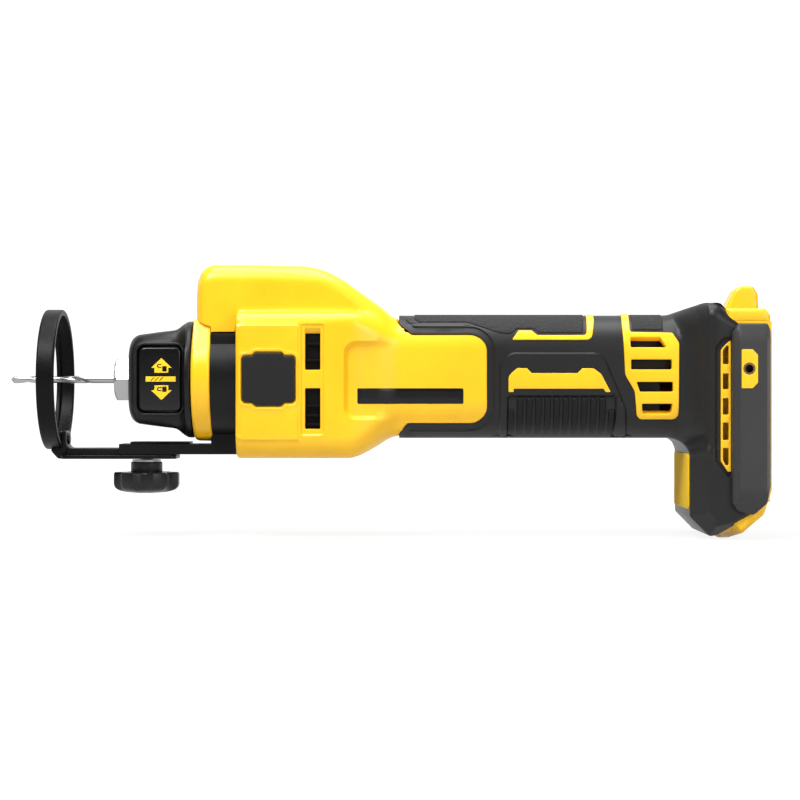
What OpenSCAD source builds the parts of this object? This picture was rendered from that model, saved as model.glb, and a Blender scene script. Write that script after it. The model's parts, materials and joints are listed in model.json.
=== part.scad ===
// Drywall cut out tool, hand-held, with a twist collar, a depth guide and a rail foot for a battery.
// Inside the file the spindle axis is X at height 0 and the front face of the motor body is x = 0.
// place() moves the whole tool so that its box stands on z = 0, centred on the Z axis.

/* [Bit and collet] */
// Diameter of the cutting bit
bit_d = 3.175; // [2.4:0.005:4]
// Bit length in front of the collet nut
bit_out = 44; // [36:0.5:56]
// Bit length held behind the front of the collet nut
bit_held = 18; // [12:0.5:18]
// Width across the flats of the collet nut
nut_af = 17.5; // [16.8:0.1:18.4]
// Length of the collet nut in front of the collar
nut_out = 6.8; // [4:0.2:9]

/* [Twist collar] */
// Length of the collar
collar_len = 26.4; // [25:0.2:29]
// Width of the collar across its side faces
collar_w = 40; // [37:0.5:41]
// Diameter of the collar's rear flange
collar_flange_d = 48.8; // [46:0.2:50]
// Length of the side finger pads
pad_len = 17.6; // [12:0.2:18]
// Height of the side finger pads
pad_h = 26; // [16:0.5:27]

/* [Nose] */
// Diameter of the front ring
ring_d = 51.6; // [50.6:0.2:52.4]
// Length of the front ring
ring_len = 6.9; // [5.5:0.1:9]
// Space for the guide strap between front ring and motor body
band_len = 11.6; // [10:0.2:14]

/* [Motor body] */
// Width of the motor body
body_w = 55; // [53:0.5:62]
// Height of the body's top shoulder above the spindle axis
body_top = 28.5; // [27.5:0.5:32]
// Depth of the body below the spindle axis
body_bottom = 32.6; // [32:0.2:36]
// Length of the straight part of the body
body_len = 44.9; // [44.2:0.1:52]
// Corner radius of the body
body_r = 9; // [5:0.5:12]
// Length of the taper between body and handle
taper_len = 21; // [16:0.5:26]
// Wall thickness of the housing
wall = 2.4; // [2:0.1:2.8]
// Space from the body's side to the motor's core
motor_gap = 5; // [4.7:0.1:5.6]

/* [Hump] */
// Width of the hump
hump_w = 38; // [34:0.5:42]
// Height of the hump above the spindle axis
hump_top = 47.5; // [46.5:0.5:54]
// How far the hump reaches in front of the motor body
hump_nose = 16.8; // [16:0.2:18.4]
// Edge radius of the hump
hump_r = 8; // [5:0.5:9]
// Angle of the hump's rear slope
hump_angle = 36.6; // [34:0.2:42]

/* [Handle] */
// Width of the handle
handle_w = 46; // [44:0.5:52]
// Height of the handle above the spindle axis
handle_top = 26.6; // [26:0.2:28]
// Depth of the handle below the spindle axis
handle_bottom = 24.4; // [24:0.2:27]
// Corner radius of the handle
handle_r = 16; // [10:0.5:18]
// Length of the handle from the taper to the foot
handle_len = 119.8; // [115:0.2:135]
// Thickness of the soft grip
skin_t = 1.5; // [1.2:0.1:2]

/* [Foot] */
// Width of the foot across its soft sides
foot_w = 66; // [63:0.5:72]
// Depth of the foot along the spindle axis
foot_depth = 31.4; // [29.4:0.2:37]
// Depth of the foot below the spindle axis
foot_bottom = 65; // [62:0.5:72]
// Thickness of the rail covers beside the battery rails
rail_cover_t = 6.5; // [5:0.5:9]
// Hole radius of the hook inserts
hook_r = 1.65; // [1.25:0.05:2.1]

/* [Depth guide] */
// Outer diameter of the guide ring
guide_ring_d = 58.8; // [57:0.2:62]
// Length of the guide ring
guide_ring_len = 7.3; // [6:0.1:10]
// Free length between guide ring and collar
guide_reach = 28.5; // [25:0.5:36]
// Width of the guide bar
bar_w = 20; // [17:0.5:24]
// Diameter of the knob
knob_d = 27.4; // [24:0.2:30]
// Height of the knob's head
knob_h = 8.8; // [7:0.2:12]

/* [Motion] */
// Travel of the power slider
slider_travel = 5; // [3:0.5:6]
// Travel of the depth guide towards the handle
guide_back = 20; // [10:0.5:22]
// Travel of the depth guide towards the bit
guide_forward = 5; // [2:0.5:6]

/* [Hidden] */
$fn = 64;

// Clearances: bond between fixed faces, fit on round seats, air between moving pieces
bond = 0.1;
fit = 0.04;
air = 0.4;
parting = 0.05;

// Stations along the spindle axis
ring_back = -band_len;
ring_front = ring_back - ring_len;
collar_back = ring_front - air;
collar_front = collar_back - collar_len;
nut_front = collar_front - nut_out;
nut_web = 3;
bit_tip = nut_front - bit_out;
handle_x = body_len + taper_len;
foot_x = handle_x + handle_len;
rear_x = foot_x + foot_depth;
rail_x = rear_x - 9.6;
cover_x = rear_x - 15.2;

// Motor and spindle sizes
bit_r = bit_d / 2;
nut_corner_r = nut_af / 2 / cos(30);
collet_r = 4.4;
collet_len = 16;
head_r = 6.9;
shaft_r = 5;
tail_r = 4;
boss_r = 13;
boss_bore_r = 8.6;
front_seat_r = 13;
front_bearing_w = 8;
front_bearing_x = -12.6;
rear_seat_r = 11;
rear_bearing_w = 7;
rear_bearing_x = 37;
sleeve_t = 1.5;
stator_x = 7;
stator_len = 17;
stator_r = body_w / 2 - motor_gap;
stator_yoke_r = stator_r - 3;
stator_bore_r = stator_yoke_r - 5.7;
tooth_w = 7;
coil_w = 12;
coil_reach = 3.2;
magnet_r = stator_bore_r - 0.6;
rotor_r = magnet_r - 1.7;
fan_x = 28.2;
fan_len = 6.2;
fan_r = stator_r - 1.5;
casting_r = 22.7;
strap_t = 2;
strap_r = casting_r + bond + strap_t;
swing_r = collar_flange_d / 2;

// Depth guide heights
nut_plate_t = 0.9;
plate_t = 1.5;
plate_top = -ring_d / 2 - 1.1;
plate_low = plate_top - plate_t;
tongue_top = plate_low - 0.3;
flange_low = plate_low - 2.8;
lip_top = flange_low - 0.3;
lip_t = 2;
bar_low = lip_top - lip_t;
flange_t = 1.8;
tongue_w = bar_w - 2 * flange_t - 0.6;
stud_r = 2.5;
knob_x = collar_front + 6.1;
washer_t = 0.9;
hub_r = 6.6;
hub_h = 4.3;
knob_top = bar_low - 0.1 - washer_t;
head_top = knob_top - hub_h;
knob_low = head_top - knob_h;
guide_ring_back = collar_front - guide_reach;
guide_ring_front = guide_ring_back - guide_ring_len;
guide_ring_r = guide_ring_d / 2;
guide_ring_wall = 2.6;
bar_front = guide_ring_front + 1.9;
bar_back = knob_x + 13.2;
plate_front = knob_x - 10.4;

// Handle and foot
core_in = skin_t + bond;
half_hw = handle_w / 2;
foot_half = foot_w / 2;
core_half = foot_half - core_in;
cover_half = core_half + bond + rail_cover_t;
foot_corner_r = 10;
foot_top = handle_top + 3.4;
core_top = foot_top - core_in;
tab_top = core_top + 10.6;
stop_z = 22.4;
rail_low = -foot_bottom + 10.4;

// Switch and light in the hump
pocket_x = 8;
pocket_len = 22;
pocket_half = 8;
pocket_floor = hump_top - 4.5;
floor_t = 2;
slider_x = pocket_x + slider_travel + 0.6;
slider_len = pocket_len - slider_travel - 1.2;
stem_x = slider_x + 3;
stem_len = 4;
switch_x = 6;
switch_len = 24;
switch_half = 8;
switch_h = 7.8;
switch_top = pocket_floor - floor_t - 4.2;
switch_low = switch_top - switch_h;
lens_z = switch_low + 7;
lens_r = 4;

// Housing screws: x, z; the head sits on the right side
screw_r = 1.6;
screw_head_r = 2.9;
screw_seat = 8;
boss_outer_r = 4.4;
screw_xz = [[-4, lens_z + 0.5], [handle_x - 13, 26], [15.5, -stator_r - boss_outer_r - 0.5],
  [handle_x - 10, -9], [handle_x + 40, handle_top - 9], [handle_x + 40, -handle_bottom + 9],
  [handle_x + 85.6, handle_top - 9], [handle_x + 85.6, -handle_bottom + 9],
  [foot_x + 6.5, foot_top - 9], [foot_x + 6.5, -foot_bottom + 15]];

// Electronics in the handle
module_x = handle_x + 48;
module_len = 54;
sink_half = 15;
sink_low = -handle_bottom + 13.6;
board_z = sink_low + 2.4;
board_top = board_z + 1.6;
lead_z = board_top + 2;
lead_r = 1.5;
block_x = rail_x - 4.4;
block_half = 17;
block_z = 14;
motor_lead_z = -stator_r - 1.8;

function smooth(t) = t * t * (3 - 2 * t);
function mix(a, b, t) = a + (b - a) * t;

// Points of one rounded rectangle in the YZ plane
function round_ring(w, zb, zt, r, n) = [
  for (c = [0:3], j = [0:n - 1])
    let (
      a = c * 90 + 90 * j / (n - 1),
      cy = (c == 0 || c == 3) ? w - r : r - w,
      cz = c < 2 ? zt - r : zb + r
    )
    [cy + r * cos(a), cz + r * sin(a)]
];

// Solid through rounded rectangles [x, half width, low, high, corner radius]
module loft(list, n = 6) {
  m = 4 * n;
  rows = len(list);
  points = [
    for (s = list)
      for (p = round_ring(s[1], s[2], s[3], s[4], n))
        [s[0], p[0], p[1]]
  ];
  side_a = [for (i = [0:rows - 2], k = [0:m - 1]) [i * m + k, (i + 1) * m + k,
    (i + 1) * m + (k + 1) % m]];
  side_b = [for (i = [0:rows - 2], k = [0:m - 1]) [i * m + k, (i + 1) * m + (k + 1) % m,
    i * m + (k + 1) % m]];
  first = [[for (k = [0:m - 1]) k]];
  last = [[for (k = [m - 1:-1:0]) (rows - 1) * m + k]];
  polyhedron(points, concat(side_a, side_b, first, last));
}

module place() {
  translate([-(bit_tip + rear_x) / 2, 0, foot_bottom]) children();
}

module along_x(x0, x1) {
  translate([x0, 0, 0]) rotate([90, 0, 90]) linear_extrude(x1 - x0) children();
}

module along_y(y0, y1) {
  translate([0, y1, 0]) rotate([90, 0, 0]) linear_extrude(y1 - y0) children();
}

module around_x() {
  rotate([0, 90, 0]) rotate_extrude() children();
}

module rod_x(x0, x1, r) {
  translate([x0, 0, 0]) rotate([0, 90, 0]) cylinder(h = x1 - x0, r = r);
}

module rod_y(x, z, y0, y1, r) {
  translate([x, y1, z]) rotate([90, 0, 0]) cylinder(h = y1 - y0, r = r);
}

module block(x0, x1, y0, y1, z0, z1) {
  translate([x0, y0, z0]) cube([x1 - x0, y1 - y0, z1 - z0]);
}

module tube_x(x0, x1, r0, r1) {
  around_x() translate([r0, x0]) square([r1 - r0, x1 - x0]);
}

// Rounded rectangle in the YZ plane from exact squares and circles
module round_rect(w, zb, zt, r) {
  translate([-w, zb + r]) square([2 * w, zt - zb - 2 * r]);
  translate([r - w, zb]) square([2 * w - 2 * r, zt - zb]);
  for (y = [r - w, w - r], z = [zb + r, zt - r]) translate([y, z]) circle(r);
}

// Housing shapes; i is the inset from the outside
module body_shape(i) {
  along_x(i, body_len) round_rect(body_w / 2 - i, i - body_bottom, body_top - i, body_r - i / 2);
}

// The taper starts and ends a little inside its neighbours
module taper_shape() {
  loft([
    for (k = [-1:7])
      let (t = min(max(k / 6, 0), 1), s = smooth(t), edge = k < 1 || k > 5 ? 0.3 : 0)
      [body_len + taper_len * t + (k < 0 ? -1 : 0) + (k > 6 ? 1 : 0),
      mix(body_w / 2, half_hw - core_in, s) - edge,
        mix(-body_bottom, core_in - handle_bottom, s) + edge,
        mix(body_top, handle_top - core_in, s) - edge,
        mix(body_r, handle_r - core_in, s)]
  ]);
}

module handle_shape(i, end = 0) {
  along_x(handle_x, foot_x + 6 + end)
    round_rect(half_hw - i, i - handle_bottom, handle_top - i, handle_r - i);
}

module hump_side(i) {
  foot_end = handle_x - 3.3 - i / sin(hump_angle);
  top = hump_top - i;
  slope_x = foot_end - (top - handle_top) / tan(hump_angle);
  front = i - hump_nose;
  r = hump_r - i / 2;
  polygon([[front, 10], [front, top - r], [front + r, top], [slope_x, top], [foot_end, handle_top],
    [foot_end, 10]]);
  translate([front + r, top - r]) circle(r);
}

module hump_shape(i) {
  difference() {
    intersection() {
      along_y(-hump_w / 2 + i, hump_w / 2 - i) hump_side(i);
      along_x(-hump_nose - 1, handle_x) round_rect(hump_w / 2 - i, -20, hump_top - i, hump_r - i / 2);
    }
    rod_x(-hump_nose - 1, 0, ring_d / 2 + air + (i > 0 ? wall : 0));
    block(-hump_nose - 1, 0, -hump_w, hump_w, 0, 19 + i);
  }
}

// Plan of the foot with rounded front corners
module foot_plan(i) {
  r = foot_corner_r - i;
  front = foot_x + i;
  half = foot_half - i;
  translate([front, r - half]) square([foot_depth - i, 2 * half - 2 * r]);
  translate([front + r, -half]) square([foot_depth - i - r, 2 * half]);
  for (y = [r - half, half - r]) translate([front + r, y]) circle(r);
}

// Side view of the foot's soft cover
module foot_skin_side(i) {
  polygon([
    [foot_x - 9, handle_top - i], [foot_x - 2.6, foot_top - 1.9 - i], [foot_x + 4.8, foot_top - 0.3 - i],
    [foot_x + 10.5, foot_top - i], [cover_x - bond, stop_z], [cover_x - bond, -foot_bottom + 4.5],
    [foot_x + 13, -foot_bottom + 0.5 + i], [foot_x + 9.7, -foot_bottom + 1.3 + i],
    [foot_x + i, -foot_bottom + 10.6 + i / 2], [foot_x + i, -handle_bottom - 5],
    [foot_x - 0.5 + i, -handle_bottom - 2.6],
    [foot_x - 2 + i, -handle_bottom - 0.8 + i / 2], [foot_x - 6, -handle_bottom + i]
  ]);
}

// Side view of the foot's hard core
module foot_core_side(i) {
  j = core_in + i;
  polygon([
    [foot_x - 9, handle_top - j], [foot_x - 2.6, foot_top - 1.9 - j], [foot_x + 4.8, foot_top - 0.3 - j],
    [foot_x + 10.5, core_top - i], [rear_x - 1.6 - i, core_top - i], [rear_x - i, core_top - 1.6 - i],
    [rear_x - i, stop_z + i], [rail_x - i, stop_z + i], [rail_x - i, rail_low + (i > 0 ? -i : 0)],
    [rear_x - 3.2 - i, rail_low + (i > 0 ? -i : 0)], [rear_x - 10 - i, -foot_bottom + 1.6 + i],
    [rear_x - 15.5, -foot_bottom + i], [foot_x + 13, -foot_bottom + 0.6 + i],
    [foot_x + 9.7 + j / 2, -foot_bottom + 1.3 + j],
    [foot_x + j, -foot_bottom + 10.6 + j / 2], [foot_x + j, -handle_bottom - 5],
    [foot_x - 0.5 + j, -handle_bottom - 2.6],
    [foot_x - 2 + j, -handle_bottom - 0.8 + j], [foot_x - 6, -handle_bottom + j]
  ]);
}

module foot_core(i) {
  intersection() {
    along_y(-core_half + i, core_half - i) foot_core_side(i);
    translate([0, 0, -foot_bottom - 1]) linear_extrude(foot_bottom + tab_top + 2) union() {
      foot_plan(core_in + i);
      translate([foot_x - 8, -half_hw + core_in + i]) square([30, 2 * (half_hw - core_in - i)]);
    }
  }
}

module foot_skin_solid() {
  intersection() {
    along_y(-foot_half, foot_half) foot_skin_side(0);
    translate([0, 0, -foot_bottom - 1]) linear_extrude(foot_bottom + tab_top + 2) union() {
      foot_plan(0);
      translate([foot_x - 8, -half_hw]) square([30, 2 * half_hw]);
    }
  }
}

// Stop tab above the battery seat, rails and their inward lips
module rails() {
  along_y(-7, 7) polygon([
    [rear_x - 13, core_top - 1], [rear_x - 8.8, tab_top - 1.2], [rear_x - 5.8, tab_top],
    [rear_x - 2.1, tab_top - 0.3], [rear_x, tab_top - 3], [rear_x, core_top - 1.6]
  ]);
  for (s = [-1, 1]) {
    block(rail_x - 1, rear_x, s < 0 ? -core_half : core_half - 3, s < 0 ? 3 - core_half : core_half,
      rail_low, stop_z + 1);
    block(rear_x - 3, rear_x, s < 0 ? -core_half : core_half - 5.5, s < 0 ? 5.5 - core_half : core_half,
      rail_low, stop_z + 1);
  }
}

// Windows in the grip where the yellow core comes to the surface; g shrinks them
module tongue_window(g) {
  end = handle_x + 36.5 - g;
  half = 18.3 - g;
  translate([handle_x - 1, -half]) square([end - handle_x - 6, 2 * half]);
  translate([end - 7.5, 7 - half]) square([7.5, 2 * half - 14]);
  for (z = [7 - half, half - 7]) translate([end - 7, z]) circle(7);
}

module grille_window(g) {
  x = foot_x - 26.4;
  polygon([
    [x + g, 18.8 - g], [x + g, 1.6], [x + 3.8 + g, -4.9], [x + 4.8 + g, -14 + g],
    [x + 6.8 + g, -16.2 + g],
    [x + 19.4 - g, -16.2 + g], [x + 22 - g, -13.3 + g], [x + 22 - g, 14.7], [x + 19.4 - g, 18.8 - g]
  ]);
}

module badge_window(g) {
  x = foot_x - 74;
  polygon([
    [x + g, -5.3 + g], [x + g, 2.4], [x + 2 + g, 4.5 - g], [x + 7.4, 4.5 - g], [x + 9.5, 2.4 - g],
    [x + 28.2, 2.4 - g],
    [x + 30.2, 4.5 - g], [x + 34.5, 4.5 - g], [x + 37.6, 2 - g], [x + 41.6 - g, -5.3 + g]
  ]);
}

module strip_window(g) {
  block(cover_x - 4.8 + g, cover_x + 1, -foot_half, foot_half, -37.7 + g, 14.9 - g);
}

module side_windows(g) {
  along_y(-half_hw - 1, half_hw + 1) {
    tongue_window(g);
    grille_window(g);
    badge_window(g);
  }
}

// Air slots through both walls
module air_slots() {
  for (z = [-16.2, -3.9]) block(28.6, 34.6, -body_w, body_w, z - 4.2, z + 4.2 - (z > -10 ? 4 : 0));
  for (z = [7.6, 15.2]) block(28.6, 34.6, -body_w, body_w, z - 3.3, z + 3.3);
  x = foot_x - 26.4;
  for (k = [0:3])
    block(x + (k > 1 ? 7.4 : 3), x + 18.4, -half_hw - 1, half_hw + 1, 13.2 - 9 * k, 17.2 - 9 * k);
  for (k = [0:4])
    block(cover_x - 3.6, cover_x - 1.2, -foot_half - 1, foot_half + 1, 5.6 - 10.6 * k, 12.6 - 10.6 * k);
}

// Bores for the screws: head room on the right side, thread on the left
module screw_bores() {
  for (p = screw_xz) {
    rod_y(p[0], p[1], -screw_seat - 1, screw_seat + 1, screw_r + fit);
    rod_y(p[0], p[1], screw_seat, 60, screw_head_r + 0.2);
  }
}

// Recess for the side pads in the body wall
module pad_outline(g) {
  translate([2.8 - g, -10 - g]) square([21.6 + 2 * g, 19.6 + 2 * g]);
  translate([7.2 - g, -11 - g]) square([12.8 + 2 * g, 21.7 + 2 * g]);
}

module pad_recess() {
  along_y(-body_w / 2 - 1, -body_w / 2 + 1.2) pad_outline(0.5);
  along_y(body_w / 2 - 1.2, body_w / 2 + 1) pad_outline(0.5);
}

// Ribs that seat the motor, the switch, the electronics and the screws
module ribs() {
  difference() {
    union() {
      for (x = [stator_x + 1.5, stator_x + stator_len - 4])
        block(x, x + 2.5, -body_w, body_w, -body_bottom, hump_top);
      block(rear_bearing_x - 0.4, rear_bearing_x + rear_bearing_w + 2, -body_w, body_w, -body_bottom, 27);
      for (x = [module_x + 4, module_x + module_len - 18])
        block(x, x + 2, -half_hw, half_hw, -handle_bottom, sink_low + 6);
      block(pocket_x - 2, pocket_x + pocket_len + 2, -pocket_half - 2, pocket_half + 2,
        pocket_floor - floor_t, hump_top);
      block(rail_x - 3 - wall, rail_x, -block_half - 2, block_half + 2, -block_z - 2, block_z + 2);
    }
    rod_x(0, stator_x + stator_len + 1, stator_r + bond);
    rod_x(rear_bearing_x - 1, rear_bearing_x + rear_bearing_w + bond, rear_seat_r + sleeve_t + bond);
    rod_x(rear_bearing_x, rear_bearing_x + rear_bearing_w + 3, rear_seat_r - 4);
    block(switch_x - bond, switch_x + switch_len + bond, -switch_half - bond, switch_half + bond,
      switch_low - bond, switch_top + bond);
    block(stator_x, stator_x + stator_len, -6, 6, switch_top, pocket_floor - floor_t);
    block(module_x - bond, module_x + module_len + bond, -sink_half - bond, sink_half + bond,
      sink_low - bond, handle_top);
    block(rear_bearing_x - 1, rear_bearing_x + rear_bearing_w + 3, -6.5, 6.5, motor_lead_z - 2.2, -15);
  }
  for (p = screw_xz) rod_y(p[0], p[1], -60, 60, boss_outer_r);
}

// Plain prisms that hollow the hump and the foot
module hump_cavity() {
  half = hump_w / 2 - wall;
  top = hump_top - wall;
  front = wall - hump_nose;
  end = handle_x - 8;
  difference() {
    intersection() {
      along_y(-half, half) polygon([
        [front, 10], [front, top - 4], [front + 4, top], [end - (top - 22) / tan(hump_angle), top],
        [end, 22], [end, 10]
      ]);
      along_x(front - 1, end + 1)
        polygon([[-half, 0], [half, 0], [half, top - 4], [half - 4, top], [4 - half, top],
          [-half, top - 4]]);
    }
    rod_x(front - 1, 1, ring_d / 2 + air + wall);
    block(front - 1, 1, -40, 40, 0, 22);
  }
}

module foot_cavity() {
  half = core_half - wall;
  x0 = foot_x + core_in + wall;
  x1 = rail_x - wall;
  intersection() {
    along_y(-half, half) polygon([
      [x0, handle_top - 3], [x0 + 8, core_top - wall - 0.5], [x1, core_top - wall - 0.5],
      [x1, -foot_bottom + 7],
      [x0 + 10, -foot_bottom + 5], [x0 + 7, -foot_bottom + 6], [x0, -foot_bottom + 13]
    ]);
    translate([0, 0, -foot_bottom]) linear_extrude(foot_bottom + core_top)
      polygon([[x0, 8 - half], [x0 + 8, -half], [x1, -half], [x1, half], [x0 + 8, half], [x0, half - 8]]);
  }
}

module cavity() {
  difference() {
    union() {
      along_x(3, body_len + 3)
        round_rect(body_w / 2 - wall, wall - body_bottom, body_top - wall, body_r - wall / 2);
      along_x(body_len, foot_x + 12)
        round_rect(half_hw - core_in - wall, core_in + wall - handle_bottom,
          handle_top - core_in - wall, handle_r - core_in - wall);
      hump_cavity();
      foot_cavity();
    }
    ribs();
  }
}

module housing_outside() {
  body_shape(0);
  taper_shape();
  handle_shape(core_in);
  intersection() {
    handle_shape(0);
    side_windows(0.15);
  }
  hump_shape(0);
  difference() {
    foot_core(0);
    block(rail_x, rear_x + 1, 3 - core_half, core_half - 3, -foot_bottom - 1, stop_z);
  }
  intersection() {
    foot_skin_solid();
    strip_window(0.15);
  }
  rails();
}

// The side is cut first, then hollowed; children() is the half space to keep
module housing_half() {
  difference() {
    intersection() {
      housing_outside();
      children();
    }
    cavity();
    rod_x(-1, 3.1, casting_r + bond);
    air_slots();
    pad_recess();
    screw_bores();
    block(pocket_x, pocket_x + pocket_len, -pocket_half, pocket_half, pocket_floor, hump_top + 1);
    block(stem_x - slider_travel - 0.5, stem_x + stem_len + 0.5, -2.4, 2.4, switch_top, pocket_floor + 1);
    translate([0, 0, lens_z]) rod_x(-hump_nose - 1, -hump_nose + wall + 1, lens_r + bond);
    block(block_x - 2, rail_x + 1, -block_half - bond, block_half + bond, -block_z - bond,
      block_z + bond);
  }
}

module left_side() {
  block(-200, 400, -200, -parting, -200, 200);
}

module right_side() {
  block(-200, 400, parting, 200, -200, 200);
}

module housing_left() {
  color("gold") place() housing_half() left_side();
}

module housing_right() {
  color("gold") place() housing_half() right_side();
}

module grip_solid() {
  difference() {
    union() {
      along_x(handle_x + 0.4, foot_x + 2) round_rect(half_hw, -handle_bottom, handle_top, handle_r);
      foot_skin_solid();
    }
    handle_shape(skin_t, 8);
    intersection() {
      along_y(-core_half - bond, core_half + bond) foot_core_side(-bond);
      translate([0, 0, -foot_bottom - 1]) linear_extrude(foot_bottom + tab_top + 2) union() {
        foot_plan(skin_t);
        translate([foot_x - 8, -half_hw + skin_t]) square([30, 2 * (half_hw - skin_t)]);
      }
    }
    side_windows(0);
    strip_window(0);
    screw_bores();
  }
}

module grip_left() {
  color("dimgray") place() intersection() {
    grip_solid();
    left_side();
  }
}

module grip_right() {
  color("dimgray") place() intersection() {
    grip_solid();
    right_side();
  }
}

module side_pad_left() {
  color("dimgray") place() along_y(-body_w / 2 - 0.1, -body_w / 2 + 1.1) pad_outline(0);
}

module side_pad_right() {
  color("dimgray") place() along_y(body_w / 2 - 1.1, body_w / 2 + 0.1) pad_outline(0);
}

module badge_outline(g) {
  polygon([
    [rear_x - 12.5 - g, -3.9 - g], [rear_x - 7.6 + g, -3.9 - g], [rear_x - 5.8 + g, -2.1 - g],
    [rear_x - 5.8 + g, 9.9 + g], [rear_x - 7.6 + g, 11.7 + g], [rear_x - 12.5 - g, 11.7 + g]
  ]);
}

// One rail cover on the left side, bevelled all round
module rail_cover() {
  difference() {
    intersection() {
      along_y(-cover_half, -core_half - bond) polygon([
        [cover_x, rail_low + 2], [cover_x + 2, rail_low], [rear_x - 3, rail_low],
        [rear_x - 1.1, rail_low + 4],
        [rear_x - 1.1, stop_z - 3], [rear_x - 3.5, stop_z], [cover_x + 2, stop_z], [cover_x, stop_z - 2]
      ]);
      translate([0, 0, -100]) linear_extrude(200) polygon([
        [cover_x, -core_half], [cover_x, -cover_half + 3], [cover_x + 2.4, -cover_half],
        [rear_x - 2.6, -cover_half], [rear_x - 1.1, -cover_half + 3], [rear_x - 1.1, -core_half]
      ]);
    }
    along_y(-cover_half - 1, -cover_half + 1.2) badge_outline(bond);
    rod_y(rear_x - 9.3, 4, -cover_half - 1, -core_half, hook_r + 0.8);
  }
}

module rail_cover_left() {
  color("dimgray") place() rail_cover();
}

module rail_cover_right() {
  color("dimgray") place() mirror([0, 1, 0]) rail_cover();
}

module hook_badge() {
  difference() {
    along_y(-cover_half, -cover_half + 1.1) badge_outline(0);
    rod_y(rear_x - 9.3, 4, -cover_half - 1, -core_half, hook_r + 0.8);
  }
}

module hook_badges() {
  color("gold") place() {
    hook_badge();
    mirror([0, 1, 0]) hook_badge();
  }
}

module hook_insert() {
  difference() {
    rod_y(rear_x - 9.3, 4, -cover_half, -core_half - bond, hook_r + 0.7);
    rod_y(rear_x - 9.3, 4, -cover_half - 1, -core_half, hook_r);
  }
}

module hook_inserts() {
  color("silver") place() {
    hook_insert();
    mirror([0, 1, 0]) hook_insert();
  }
}

module housing_screws() {
  color("darkgray") place() for (p = screw_xz) difference() {
    union() {
      rod_y(p[0], p[1], -screw_seat, screw_seat + 0.1, screw_r);
      rod_y(p[0], p[1], screw_seat + 0.02, screw_seat + 2.3, screw_head_r);
    }
    rod_y(p[0], p[1], screw_seat + 1, screw_seat + 3, 1.4, $fn = 6);
  }
}

module front_ring() {
  color("gold") place() tube_x(ring_front, ring_back - 0.1, casting_r - 0.5, ring_d / 2);
}

// Nose casting: front wall, collar boss, bearing seat and the rear flange held by the body
module nose_casting() {
  color("dimgray") place() difference() {
    union() {
      rod_x(ring_front + 0.1, ring_back, casting_r - 0.6);
      rod_x(ring_back - 0.05, 4.2, casting_r);
      rod_x(3.2, 4.2, casting_r + 1.6);
      rod_x(collar_back - 14.2, ring_front + 1, boss_r);
    }
    rod_x(collar_back - 20, front_bearing_x, boss_bore_r);
    rod_x(front_bearing_x, 5, front_seat_r + fit);
    rod_x(front_bearing_x + front_bearing_w + 1.8, 5, stator_yoke_r + 0.6);
    tube_x(collar_back - 13.4, collar_back - 12.3, boss_r - 0.9, boss_r + 1);
  }
}

module collar_circlip() {
  color("silver") place() tube_x(collar_back - 13.35, collar_back - 12.35, boss_r - 0.85, boss_r + 1.4);
}

module bearing_circlip() {
  color("silver") place()
    tube_x(front_bearing_x + front_bearing_w + 0.05, front_bearing_x + front_bearing_w + 1.3,
      front_seat_r - 2, front_seat_r);
}

module race_outer(x, w, r0, r1, pitch, ball) {
  around_x() difference() {
    translate([r0, x]) square([r1 - r0, w]);
    translate([pitch, x + w / 2]) circle(ball + 0.1);
  }
}

module balls(x, pitch, ball, n) {
  for (k = [0:n - 1]) rotate([k * 360 / n, 0, 0]) translate([x, 0, pitch]) sphere(ball);
}

module front_bearing_outer() {
  color("silver") place()
    race_outer(front_bearing_x + 0.05, front_bearing_w - 0.05, 10.7, front_seat_r, 9, 2.3);
}

module front_bearing_inner() {
  color("silver") place()
    race_outer(front_bearing_x + 0.05, front_bearing_w - 0.05, shaft_r + fit, 7.3, 9, 2.3);
}

module front_bearing_balls() {
  color("silver") place() balls(front_bearing_x + front_bearing_w / 2 + 0.025, 9, 2.3, 8);
}

module rear_bearing_outer() {
  color("silver") place() race_outer(rear_bearing_x, rear_bearing_w, 8.9, rear_seat_r, 7.5, 1.9);
}

module rear_bearing_inner() {
  color("silver") place() race_outer(rear_bearing_x, rear_bearing_w, tail_r + fit, 6.1, 7.5, 1.9);
}

module rear_bearing_balls() {
  color("silver") place() balls(rear_bearing_x + rear_bearing_w / 2, 7.5, 1.9, 8);
}

module bearing_sleeve() {
  color("dimgray") place()
    tube_x(rear_bearing_x, rear_bearing_x + rear_bearing_w, rear_seat_r + fit, rear_seat_r + sleeve_t);
}

module stator_core() {
  color("silver") place() difference() {
    union() {
      tube_x(stator_x, stator_x + stator_len, stator_yoke_r, stator_r);
      for (k = [0:5]) rotate([k * 60, 0, 0])
        block(stator_x, stator_x + stator_len, -tooth_w / 2, tooth_w / 2, 10, stator_yoke_r + 1);
    }
    rod_x(stator_x - 1, stator_x + stator_len + 1, stator_bore_r);
  }
}

module stator_coils() {
  color("peru") place() for (k = [0:5]) rotate([k * 60, 0, 0]) difference() {
    block(stator_x - coil_reach, stator_x + stator_len + coil_reach, -coil_w / 2, coil_w / 2,
      stator_bore_r + 0.8, stator_yoke_r - 1.4);
    block(stator_x - 0.5, stator_x + stator_len + 0.5, -tooth_w / 2 - bond, tooth_w / 2 + bond, 5,
      stator_yoke_r);
  }
}

module stator_insulators() {
  color("white") place() for (x = [stator_x - 2, stator_x + stator_len + 0.1])
    tube_x(x, x + 1.9, stator_yoke_r + 0.1, stator_r - 0.4);
}

module sensor_board() {
  color("darkgreen") place()
    tube_x(stator_x - coil_reach - 1.7, stator_x - coil_reach - 0.2, 9, stator_yoke_r - 0.2);
}

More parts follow.
